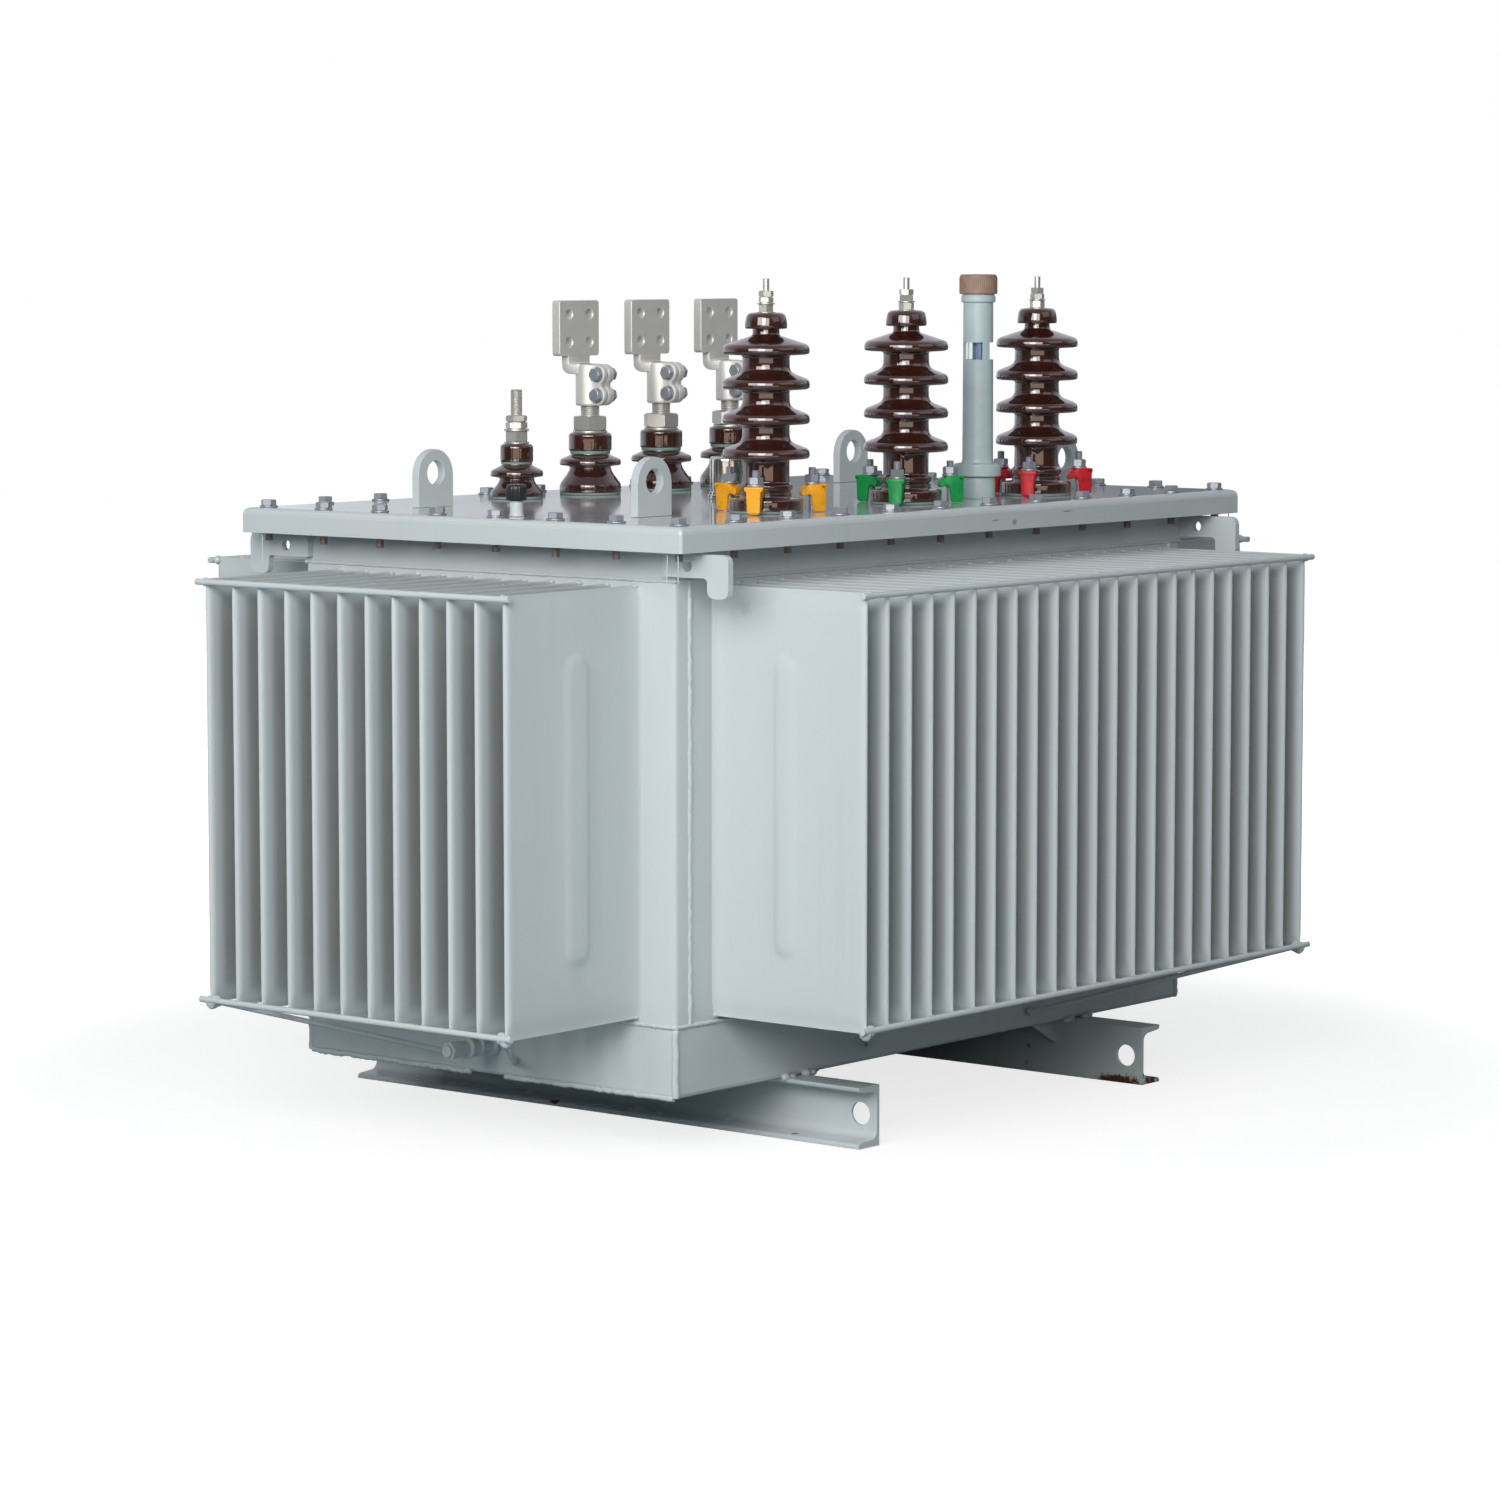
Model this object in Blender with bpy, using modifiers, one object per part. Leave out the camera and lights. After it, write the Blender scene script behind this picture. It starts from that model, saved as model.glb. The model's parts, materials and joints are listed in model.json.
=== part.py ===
"""Oil-immersed distribution transformer with a finned tank, in metres, +Z up, standing on z = 0."""
import math
import bmesh
import bpy
from mathutils import Matrix, Vector

# Clearances
GAP = 0.0003
THROUGH = 0.010

# Tank
TANK_LENGTH = 1.120
TANK_WIDTH = 0.640
SHEET = 0.0015
CORNER_RETURN = 0.028
ACTIVE_SHIFT = 0.014

# Channels under the tank
CHANNEL_HEIGHT = 0.080
CHANNEL_FLANGE = 0.043
CHANNEL_WEB = 0.005
CHANNEL_FLANGE_ROOT = 0.009
CHANNEL_FLANGE_TIP = 0.0065
CHANNEL_OVERHANG = 0.122
CHANNEL_INSET = 0.263
CHANNEL_HOLE = 0.015
CHANNEL_HOLE_INSET = 0.027
CHANNEL_HOLE_HEIGHT = 0.039
GUSSET_LENGTH = 0.034
GUSSET_HEIGHT = 0.026
GUSSET_THICKNESS = 0.008

# Base pan
PAN_HEIGHT = 0.092
PAN_PLATE = 0.005
PAN_RADIUS = 0.006

# Core and coils inside the tank
CORE_LIMB = 0.085
YOKE_HEIGHT = 0.150
YOKE_DEPTH = 0.170
COIL_GAP = 0.006
COIL_END_GAP = 0.012
CORE_END_ROOM = 0.050
CORE_HEAD_ROOM = 0.110

# Corrugated walls
LONG_FIN_PITCH = 0.045
FIN_HALF = 0.0048
FIN_PINCH = 0.0020
FIN_TAPER = 0.026
FIN_HEIGHT = 0.550
FIN_EDGE_MARGIN = 0.007
FIN_END_MARGIN = 0.064
LONG_FIN_DEPTH = 0.243
SHORT_FIN_PITCH = 0.0465
SHORT_FIN_DEPTH = 0.250
BEAD_LENGTH = 0.240
BEAD_RADIUS = 0.007
BEAD_PLACE = 0.48
ROD_RADIUS = 0.004
ROD_WELD = 0.0065
ROD_OVERHANG = 0.009
BRACE_RADIUS = 0.0035
BRACE_DROP = 0.023
LONG_BRACE_FOOT = 0.180
SHORT_BRACE_FOOT = 0.05075

# Upper frame, gasket and lid
FRAME_STRIP = 0.050
FRAME_PLATE = 0.006
FRAME_FLANGE = 0.052
FLANGE_PLATE = 0.010
GASKET = 0.006
LID_PLATE = 0.006
LID_OVERHANG = 0.060
LID_FOLD = 0.033
LID_RADIUS = 0.009

# Lifting lugs on the lid
LUG_INSET_X = 0.108
LUG_INSET_Y = 0.130
LUG_WIDTH = 0.068
LUG_HEIGHT = 0.0765
LUG_PLATE = 0.012
LUG_EYE = 0.0166
LUG_EYE_HEIGHT = 0.045

# Tank hooks
HOOK_REACH = 0.094
HOOK_ROOT = 0.013
HOOK_ARM = 0.030
HOOK_DROP = 0.055
HOOK_LIP = 0.034
HOOK_PLATE = 0.010
HOOK_HOLE = 0.0075
HOOK_HOLE_REACH = 0.028

# High-voltage bushings
HV_INSET = 0.075
HV_TO_LUG = 0.138
HV_BODY = 0.0305
HV_SHED = 0.0565
HV_COLLAR = 0.0487
HV_COLLAR_HEIGHT = 0.019
HV_SHED_PITCH = 0.045
HV_FIRST_SHED = 0.076
HV_SHEDS = 4
HV_NECK = 0.019
HV_CAP = 0.0275
HV_CAP_HEIGHT = 0.021
HV_NECK_RISE = 0.027
HV_STUD = 0.005
HV_NUT = 0.0105
HV_STUD_LENGTH = 0.044

# Clamps that hold the bushings down
CLAMP_COUNT = 3
CLAMP_TURN = 87.0
CLAMP_WIDTH = 0.022
CLAMP_LEG_INNER = 0.068
CLAMP_LEG_OUTER = 0.080
CLAMP_TIP = 0.0465
CLAMP_HEIGHT = 0.017
CLAMP_FOOT = 0.006

# Low-voltage bushings
LV_INSET = 0.070
LV_PITCH = 0.154
LV_SHED = 0.043
LV_NECK = 0.027
LV_TOP = 0.030
LV_TOP_HEIGHT = 0.024
LV_BELL_HEIGHT = 0.036
LV_SKIRT_HEIGHT = 0.062
LV_STUD = 0.0132
LV_NUT = 0.0255
LV_NUT_HEIGHT = 0.020
LV_WASHER = 0.026
LV_WASHER_HEIGHT = 0.003
LV_STUD_SHOW = 0.014
LV_STUD_IN_CLAMP = 0.036

# Palm terminals on the low-voltage studs
PALM_BODY = 0.020
PALM_BODY_HEIGHT = 0.058
PALM_EAR_REACH = 0.020
PALM_EAR_RADIUS = 0.0142
PALM_EAR_LOW = -0.009
PALM_EAR_HIGH = 0.013
PALM_SLOT = 0.003
PALM_BOLT_SPACING = 0.029
PALM_WIDTH = 0.084
PALM_PLATE_HEIGHT = 0.077
PALM_PLATE = 0.014
PALM_OFFSET = 0.019
PALM_NECK_WIDTH = 0.046
PALM_NECK_RISE = 0.011
PALM_HOLE = 0.0068
PALM_HOLE_X = 0.0215
PALM_HOLE_Z = 0.0195
PALM_CORNER = 0.005

# Neutral bushing
NEUTRAL_SHED = 0.0363
NEUTRAL_NECK = 0.0205
NEUTRAL_TOP = 0.0226
NEUTRAL_HEIGHT = 0.075
NEUTRAL_STUD = 0.008
NEUTRAL_NUT = 0.0165
NEUTRAL_STUD_LENGTH = 0.074

# Fittings on the lid
GAUGE_TO_BUSHING = 0.124
GAUGE_SETBACK = 0.010
GAUGE_TUBE = 0.0215
GAUGE_BORE = 0.016
GAUGE_STUB = 0.0235
GAUGE_STUB_HEIGHT = 0.0295
GAUGE_FLANGE = 0.0325
GAUGE_FLANGE_HEIGHT = 0.018
GAUGE_TUBE_HEIGHT = 0.2315
GAUGE_WINDOW_LOW = 0.190
GAUGE_WINDOW_HIGH = 0.2135
GAUGE_WINDOW_WIDTH = 0.0288
GAUGE_WINDOW_DEPTH = 0.010
GAUGE_WINDOW_TURNS = (190.5, 310.5, 70.5)
GAUGE_CAP = 0.0262
GAUGE_CAP_HEIGHT = 0.027
RELIEF_X = -0.040
RELIEF_Y = 0.020
RELIEF_RADIUS = 0.0255
RELIEF_HEIGHT = 0.058
FILLER_INSET = 0.060
FILLER_Y = -0.055
FILLER_STUB = 0.0085
FILLER_STUB_HEIGHT = 0.020
FILLER_CAP = 0.0135
FILLER_CAP_HEIGHT = 0.021

# Drain valve on the base pan
DRAIN_HEIGHT = 0.122
DRAIN_Y = -0.008
DRAIN_LENGTH = 0.088
DRAIN_RADIUS = 0.016

# Roundness of turned pieces
ROUND_LARGE = 16
ROUND_SMALL = 12

# Heights that follow from the sizes above
PAN_BOTTOM = CHANNEL_HEIGHT + GAP
PAN_TOP = PAN_BOTTOM + PAN_HEIGHT
WALL_BOTTOM = PAN_TOP + GAP
FIN_BOTTOM = WALL_BOTTOM + FIN_EDGE_MARGIN
FIN_TOP = FIN_BOTTOM + FIN_HEIGHT
WALL_TOP = FIN_TOP + FIN_EDGE_MARGIN
FRAME_BOTTOM = WALL_TOP + GAP
FLANGE_BOTTOM = FRAME_BOTTOM + FRAME_STRIP
FLANGE_TOP = FLANGE_BOTTOM + FLANGE_PLATE
LID_UNDER = FLANGE_TOP + 2 * GAP + GASKET
LID_TOP = LID_UNDER + LID_PLATE
LID_BOTTOM = LID_TOP - LID_FOLD
SEAT = LID_TOP + GAP
HALF_X = TANK_LENGTH / 2
HALF_Y = TANK_WIDTH / 2
CORE_BOTTOM = PAN_BOTTOM + PAN_PLATE + GAP
CORE_TOP = LID_UNDER - CORE_HEAD_ROOM
COIL_RADIUS = (TANK_LENGTH - 2 * CORE_END_ROOM - 2 * COIL_GAP) / 6
CHANNEL_LENGTH = TANK_WIDTH + 2 * CHANNEL_OVERHANG
CHANNEL_BACK = HALF_X - CHANNEL_INSET
LUG_X = HALF_X - LUG_INSET_X
LUG_Y = HALF_Y - LUG_INSET_Y
HV_Y = -HALF_Y + HV_INSET
HV_PITCH = LUG_X - HV_TO_LUG - ACTIVE_SHIFT
LV_Y = HALF_Y - LV_INSET
GAUGE_X = ACTIVE_SHIFT + HV_PITCH - GAUGE_TO_BUSHING
GAUGE_Y = HV_Y + GAUGE_SETBACK
FILLER_X = -HALF_X - LID_OVERHANG + FILLER_INSET
LV_HEIGHT = LV_SKIRT_HEIGHT + LV_TOP_HEIGHT
PALM_BOTTOM = LV_WASHER_HEIGHT + LV_NUT_HEIGHT + LV_STUD_SHOW
HV_NECK_TOP = HV_FIRST_SHED + (HV_SHEDS - 1) * HV_SHED_PITCH + HV_NECK_RISE

FINISHES = {
    "paint": ((0.60, 0.65, 0.64), 0.0, 0.32),
    "gasket": ((0.18, 0.24, 0.22), 0.0, 0.6),
    "porcelain": ((0.055, 0.017, 0.012), 0.0, 0.08),
    "tinned": ((0.62, 0.62, 0.60), 1.0, 0.35),
    "zinc": ((0.50, 0.51, 0.52), 1.0, 0.38),
    "stainless": ((0.66, 0.66, 0.65), 1.0, 0.2),
    "yellow_cap": ((0.85, 0.42, 0.03), 0.0, 0.35),
    "green_cap": ((0.01, 0.33, 0.07), 0.0, 0.35),
    "red_cap": ((0.62, 0.012, 0.02), 0.0, 0.35),
    "gauge_body": ((0.42, 0.49, 0.50), 0.0, 0.4),
    "tan_cap": ((0.36, 0.24, 0.17), 0.0, 0.5),
    "black_cap": ((0.02, 0.02, 0.022), 0.0, 0.4),
    "core": ((0.32, 0.20, 0.11), 0.0, 0.6),
}

for old in list(bpy.data.objects):
    bpy.data.objects.remove(old, do_unlink=True)

model = bpy.data.collections.new("distribution_transformer")
cutters = bpy.data.collections.new("cutters")
bpy.context.scene.collection.children.link(model)
bpy.context.scene.collection.children.link(cutters)


def make_finish(name):
    """A Principled material in the colour, metal and roughness of one finish."""
    colour, metal, roughness = FINISHES[name]
    material = bpy.data.materials.new(name)
    material.use_nodes = True
    shader = material.node_tree.nodes["Principled BSDF"]
    shader.inputs["Base Color"].default_value = (*colour, 1.0)
    shader.inputs["Metallic"].default_value = metal
    shader.inputs["Roughness"].default_value = roughness
    return material


materials = {name: make_finish(name) for name in FINISHES}


def add_object(name, mesh, finish=None):
    """An object of the model, or a cutter where it has no finish."""
    item = bpy.data.objects.new(name, mesh)
    if finish:
        model.objects.link(item)
        mesh.materials.clear()
        mesh.materials.append(materials[finish])
    else:
        cutters.objects.link(item)
        item.hide_render = True
        item.display_type = "WIRE"
    return item


def smooth(item, angle=35.0):
    """Smooth shading with edges sharper than the angle kept sharp."""
    item.data.shade_smooth()
    item.data.set_sharp_from_angle(angle=math.radians(angle))


def from_bmesh(name, bm, finish=None):
    mesh = bpy.data.meshes.new(name)
    bmesh.ops.recalc_face_normals(bm, faces=bm.faces)
    bm.to_mesh(mesh)
    bm.free()
    return add_object(name, mesh, finish)


def box(name, low, high, finish=None):
    """A box between two corners."""
    bm = bmesh.new()
    bmesh.ops.create_cube(bm, size=1.0)
    low = Vector(low)
    high = Vector(high)
    bmesh.ops.scale(bm, vec=high - low, verts=bm.verts)
    bmesh.ops.translate(bm, vec=(low + high) / 2, verts=bm.verts)
    return from_bmesh(name, bm, finish)


def cylinder(name, centre, radius, depth, axis="Z", sides=ROUND_LARGE, finish=None):
    """A closed cylinder about its centre, along one axis."""
    turns = {"X": Matrix.Rotation(math.pi / 2, 4, "Y"), "Y": Matrix.Rotation(math.pi / 2, 4, "X")}
    bm = bmesh.new()
    bmesh.ops.create_cone(bm, cap_ends=True, segments=sides, radius1=radius, radius2=radius, depth=depth)
    bmesh.ops.transform(bm, matrix=turns.get(axis, Matrix.Identity(4)), verts=bm.verts)
    bmesh.ops.translate(bm, vec=Vector(centre), verts=bm.verts)
    return from_bmesh(name, bm, finish)


def evaluated_mesh(item, name):
    """The mesh an object shows with its modifiers, welded and in world space."""
    graph = bpy.context.evaluated_depsgraph_get()
    graph.update()
    mesh = bpy.data.meshes.new_from_object(item.evaluated_get(graph))
    mesh.name = name
    bm = bmesh.new()
    bm.from_mesh(mesh)
    bmesh.ops.remove_doubles(bm, verts=bm.verts, dist=0.00001)
    bmesh.ops.transform(bm, matrix=item.matrix_world, verts=bm.verts)
    bmesh.ops.recalc_face_normals(bm, faces=bm.faces)
    bm.to_mesh(mesh)
    bm.free()
    return mesh


def baked(item, name, finish=None):
    """A plain mesh object in place of one with modifiers or of a curve."""
    mesh = evaluated_mesh(item, name)
    bpy.data.objects.remove(item, do_unlink=True)
    return add_object(name, mesh, finish)


def boolean(item, other, operation):
    modifier = item.modifiers.new(operation.lower(), "BOOLEAN")
    modifier.operation = operation
    modifier.solver = "EXACT"
    modifier.object = other


def cut(item, cutter):
    boolean(item, cutter, "DIFFERENCE")


def weld(item, other):
    boolean(item, other, "UNION")


def plate(name, points, thickness, matrix, finish=None):
    """A flat outline given as (a, b) pairs, extruded to a thickness, turned and placed by a matrix."""
    curve = bpy.data.curves.new(name, "CURVE")
    curve.dimensions = "2D"
    curve.fill_mode = "BOTH"
    curve.extrude = thickness / 2
    spline = curve.splines.new("POLY")
    spline.points.add(len(points) - 1)
    for point, (a, b) in zip(spline.points, points):
        point.co = (a, b, 0.0, 1.0)
    spline.use_cyclic_u = True
    item = bpy.data.objects.new(name, curve)
    model.objects.link(item)
    item.matrix_world = matrix
    bpy.context.view_layer.update()
    return baked(item, name, finish)


def upright_xz(x, y, z):
    """Places an outline so that its a runs along X and its b along Z."""
    return Matrix.Translation((x, y, z)) @ Matrix.Rotation(math.pi / 2, 4, "X")


def upright_yz(x, y, z):
    """Places an outline so that its a runs along Y and its b along Z."""
    return Matrix.Translation((x, y, z)) @ Matrix.Rotation(math.pi / 2, 4, "Z") @ Matrix.Rotation(math.pi / 2, 4, "X")


def rod(name, points, radius, finish=None):
    """A round bar along a run of points, with closed ends."""
    curve = bpy.data.curves.new(name, "CURVE")
    curve.dimensions = "3D"
    curve.bevel_depth = radius
    curve.bevel_resolution = 2
    curve.use_fill_caps = True
    spline = curve.splines.new("POLY")
    spline.points.add(len(points) - 1)
    for point, place in zip(spline.points, points):
        point.co = (*place, 1.0)
    item = bpy.data.objects.new(name, curve)
    model.objects.link(item)
    bpy.context.view_layer.update()
    return baked(item, name, finish)


def turned(name, profile, centre, finish, sides=ROUND_LARGE, axis_turn=None):
    """A turned piece: the profile of (radius, height) runs down the outer side, from axis to axis."""
    mesh = bpy.data.meshes.new(name)
    points = [(radius, 0.0, height) for radius, height in profile]
    mesh.from_pydata(points, [(i, i + 1) for i in range(len(points) - 1)], [])
    item = add_object(name, mesh, finish)
    screw = item.modifiers.new("turn", "SCREW")
    screw.steps = sides
    screw.render_steps = sides
    screw.use_merge_vertices = True
    screw.merge_threshold = 0.00005
    screw.use_normal_calculate = True
    solid = baked(item, name, finish)
    if axis_turn:
        solid.data.transform(axis_turn)
    solid.data.transform(Matrix.Translation(centre))
    smooth(solid)
    return solid


def arc(centre, radius, start, end, steps):
    """Points on an arc, angles in degrees."""
    angles = [math.radians(start + (end - start) * i / steps) for i in range(steps + 1)]
    return [(centre[0] + radius * math.cos(t), centre[1] + radius * math.sin(t)) for t in angles]


def loft(name, bodies, finish=None):
    """Closed solids, each through its own sections of equally many points, capped at the ends."""
    bm = bmesh.new()
    for sections in bodies:
        rings = [[bm.verts.new(point) for point in section] for section in sections]
        count = len(rings[0])
        for lower, upper in zip(rings, rings[1:]):
            for i in range(count):
                j = (i + 1) % count
                bm.faces.new((lower[i], lower[j], upper[j], upper[i]))
        bm.faces.new(rings[0][::-1])
        bm.faces.new(rings[-1])
    return from_bmesh(name, bm, finish)


def fin_levels():
    """Heights and half thicknesses of a fin: pinched shut at its ends, full between them."""
    return (
        (FIN_BOTTOM, FIN_PINCH),
        (FIN_BOTTOM + FIN_TAPER, FIN_HALF),
        (FIN_TOP - FIN_TAPER, FIN_HALF),
        (FIN_TOP, FIN_PINCH),
    )


def fin_count(length, pitch):
    """As many fins as fit between the plain ends of one side of the tank."""
    return 1 + math.floor((length - 2 * FIN_END_MARGIN) / pitch)


def comb_section(centres, half, height, length, depth):
    """Outline of a folded wall at one height: along = X, fins towards -Y from y = 0."""
    points = [(-length / 2, SHEET), (-length / 2, 0.0)]
    for centre in centres:
        points.extend([(centre - half, 0.0), (centre - half, -depth)])
        points.extend([(centre + half, -depth), (centre + half, 0.0)])
    points.extend([(length / 2, 0.0), (length / 2, SHEET)])
    return [(x, y, height) for x, y in points]


def fin_pockets(name, centres, depth):
    """The hollow inside of every fin, open towards the tank and closed where the fin is pinched."""
    half = FIN_HALF - SHEET
    back = SHEET * 3
    tip = -depth + SHEET
    bodies = []
    for centre in centres:
        ring = [(centre - half, back), (centre - half, tip), (centre + half, tip), (centre + half, back)]
        heights = (FIN_BOTTOM + FIN_TAPER, FIN_TOP - FIN_TAPER)
        bodies.append([[(x, y, height) for x, y in ring] for height in heights])
    return loft(name, bodies)


def weld_drop(name, centre):
    """A rounded drop of weld metal."""
    bm = bmesh.new()
    bmesh.ops.create_icosphere(bm, subdivisions=1, radius=ROD_WELD)
    bmesh.ops.translate(bm, vec=centre, verts=bm.verts)
    return from_bmesh(name, bm)


def bead(name, x, side, middle_y, middle_z):
    """A long rounded bead pressed out of a fin's side, through three shrinking outlines."""
    steps = 4
    straight = BEAD_LENGTH / 2 - BEAD_RADIUS
    sections = []
    for out, share in ((-SHEET / 2, 1.0), (0.0, 1.0), (BEAD_RADIUS * 0.32, 0.55)):
        ring = []
        for middle, start in ((straight, 0.0), (-straight, 180.0)):
            for y, z in arc((0.0, 0.0), BEAD_RADIUS * share, start, start + 180.0, steps):
                ring.append((x + side * out, middle_y + y, middle_z + middle + z))
        sections.append(ring)
    return loft(name, [sections])


def finned_wall(name, count, pitch, depth, length, shift, brace_foot, returns):
    """A folded wall with hollow pinched fins, rods along the fin ends and braces to the pan."""
    centres = [shift + (i - (count - 1) / 2) * pitch for i in range(count)]
    first = centres[0]
    last = centres[-1]
    sections = [comb_section(centres, half, z, length - FIN_EDGE_MARGIN, depth) for z, half in fin_levels()]
    wall = loft(name, [sections], "paint")
    weld(wall, box(name + "_sheet", (-length / 2, 0.0, WALL_BOTTOM), (length / 2, SHEET, WALL_TOP)))
    cut(wall, fin_pockets(name + "_pockets", centres, depth))
    for x, side in ((first - FIN_HALF, -1), (last + FIN_HALF, 1)):
        weld(wall, bead(name + "_bead", x, side, -depth * BEAD_PLACE, (FIN_BOTTOM + FIN_TOP) / 2))
    rod_y = -depth - GAP - ROD_RADIUS
    overhang = FIN_HALF + ROD_OVERHANG
    for height in (FIN_TOP - ROD_RADIUS, FIN_BOTTOM + ROD_RADIUS):
        rod_ends = [(first - overhang, rod_y, height), (last + overhang, rod_y, height)]
        weld(wall, rod(name + "_rod", rod_ends, ROD_RADIUS))
        for x in (first, last):
            weld(wall, weld_drop(name + "_weld", (x, -depth, height)))
    for x, side in ((first, 1), (last, -1)):
        start = (x, rod_y, FIN_BOTTOM + ROD_RADIUS)
        foot = (shift - side * brace_foot, -BRACE_RADIUS * 1.5 - GAP, PAN_BOTTOM + BRACE_DROP)
        weld(wall, rod(name + "_brace", [start, foot], BRACE_RADIUS))
    if returns:
        for side in (-1, 1):
            outer = side * length / 2
            inner = side * (length / 2 - SHEET)
            low = (min(outer, inner), 0.0, WALL_BOTTOM)
            high = (max(outer, inner), CORNER_RETURN, WALL_TOP)
            weld(wall, box(name + "_return", low, high))
    return wall


def place_wall(wall, turn, offset):
    """Turns a finished wall about Z and moves it out to its side of the tank."""
    name = wall.name
    solid = baked(wall, name, "paint")
    spin = Matrix.Rotation(math.radians(turn), 4, "Z")
    solid.data.transform(spin @ Matrix.Translation((0.0, -offset, 0.0)))
    smooth(solid, 30.0)


long_length = TANK_LENGTH - 2 * (CORNER_RETURN + GAP)
long_fins = fin_count(TANK_LENGTH, LONG_FIN_PITCH)
short_fins = fin_count(TANK_WIDTH, SHORT_FIN_PITCH)
for wall_name, wall_turn, wall_shift in (
    ("finned_wall_front", 0.0, ACTIVE_SHIFT),
    ("finned_wall_back", 180.0, -ACTIVE_SHIFT),
):
    long_sizes = (long_fins, LONG_FIN_PITCH, LONG_FIN_DEPTH, long_length, wall_shift, LONG_BRACE_FOOT)
    place_wall(finned_wall(wall_name, *long_sizes, False), wall_turn, HALF_Y)
for wall_name, wall_turn in (("finned_wall_left", -90.0), ("finned_wall_right", 90.0)):
    short_sizes = (short_fins, SHORT_FIN_PITCH, SHORT_FIN_DEPTH, TANK_WIDTH, 0.0, SHORT_BRACE_FOOT)
    place_wall(finned_wall(wall_name, *short_sizes, True), wall_turn, HALF_X)


def base_pan():
    """The welded pan under the walls, open at its top."""
    pan = box("base_pan", (-HALF_X, -HALF_Y, PAN_BOTTOM), (HALF_X, HALF_Y, PAN_TOP), "paint")
    bevel = pan.modifiers.new("bends", "BEVEL")
    bevel.width = PAN_RADIUS
    bevel.segments = 2
    bevel.limit_method = "WEIGHT"
    weights = pan.data.attributes.new("bevel_weight_edge", "FLOAT", "EDGE")
    for edge in pan.data.edges:
        low = all(pan.data.vertices[i].co.z < PAN_BOTTOM + PAN_PLATE for i in edge.vertices)
        weights.data[edge.index].value = 1.0 if low else 0.0
    inside = box(
        "pan_inside",
        (-HALF_X + PAN_PLATE, -HALF_Y + PAN_PLATE, PAN_BOTTOM + PAN_PLATE),
        (HALF_X - PAN_PLATE, HALF_Y - PAN_PLATE, PAN_TOP + PAN_PLATE),
    )
    cut(pan, inside)
    smooth(pan, 30.0)


base_pan()


def core_and_coils():
    """The iron core on the tank's floor: two yokes and three limbs, with a coil round each limb."""
    limb_low = CORE_BOTTOM + YOKE_HEIGHT / 2
    limb_high = CORE_TOP - YOKE_HEIGHT / 2
    coil_low = CORE_BOTTOM + YOKE_HEIGHT + COIL_END_GAP
    coil_high = CORE_TOP - YOKE_HEIGHT - COIL_END_GAP
    limb_pitch = 2 * COIL_RADIUS + COIL_GAP
    reach = limb_pitch + CORE_LIMB
    yoke_low = (ACTIVE_SHIFT - reach, -YOKE_DEPTH / 2, CORE_BOTTOM)
    yoke_high = (ACTIVE_SHIFT + reach, YOKE_DEPTH / 2, CORE_BOTTOM + YOKE_HEIGHT)
    core = box("core_and_coils", yoke_low, yoke_high, "core")
    top_low = (yoke_low[0], yoke_low[1], CORE_TOP - YOKE_HEIGHT)
    weld(core, box("core_top_yoke", top_low, (yoke_high[0], yoke_high[1], CORE_TOP)))
    for column in (-1, 0, 1):
        x = ACTIVE_SHIFT + column * limb_pitch
        limb = (x, 0.0, (limb_low + limb_high) / 2)
        weld(core, cylinder("core_limb", limb, CORE_LIMB, limb_high - limb_low))
        coil = (x, 0.0, (coil_low + coil_high) / 2)
        weld(core, cylinder("coil", coil, COIL_RADIUS, coil_high - coil_low))
    smooth(baked(core, "core_and_coils", "core"))


core_and_coils()


def channel(name, side):
    """A rolled channel along Y under the pan, open outwards, with a drilled web and end gussets."""
    top = CHANNEL_HEIGHT
    tip = CHANNEL_FLANGE
    web = CHANNEL_WEB
    root = CHANNEL_FLANGE_ROOT
    thin = CHANNEL_FLANGE_TIP
    profile = [(0.0, 0.0), (tip, 0.0)]
    profile.extend([(tip, thin * 0.6), (tip - thin * 0.35, thin), (web + 0.006, root), (web, root + 0.006)])
    profile.extend([(web, top - root - 0.006), (web + 0.006, top - root), (tip - thin * 0.35, top - thin)])
    profile.extend([(tip, top - thin * 0.6), (tip, top), (0.0, top)])
    outline = [(side * (CHANNEL_BACK + a), b) for a, b in profile]
    beam = plate(name, outline, CHANNEL_LENGTH, upright_xz(0.0, 0.0, 0.0), "paint")
    for end in (-1, 1):
        hole_y = end * (CHANNEL_LENGTH / 2 - CHANNEL_HOLE_INSET)
        centre = (side * (CHANNEL_BACK + web / 2), hole_y, CHANNEL_HOLE_HEIGHT)
        cut(beam, cylinder(name + "_hole", centre, CHANNEL_HOLE, web * 4, "X"))
        wall_y = HALF_Y + GAP
        rise = GUSSET_HEIGHT
        reach = GUSSET_LENGTH
        sunk = thin / 2
        shape = [(wall_y, top - sunk), (wall_y + reach, top - sunk), (wall_y + reach, top)]
        shape.extend([(wall_y + GUSSET_THICKNESS, top + rise), (wall_y, top + rise)])
        points = [(end * a, b) for a, b in shape]
        x = side * (CHANNEL_BACK + tip / 2)
        weld(beam, plate(name + "_gusset", points, GUSSET_THICKNESS, upright_yz(x, 0.0, 0.0)))


channel("channel_left", -1)
channel("channel_right", 1)


def ring_solid(name, outer, inner, low, high, finish=None):
    """A rectangular ring between two half sizes and two heights."""
    ring = box(name, (-outer[0], -outer[1], low), (outer[0], outer[1], high), finish)
    hole = box(name + "_inside", (-inner[0], -inner[1], low - THROUGH), (inner[0], inner[1], high + THROUGH))
    cut(ring, hole)
    return ring


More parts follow.
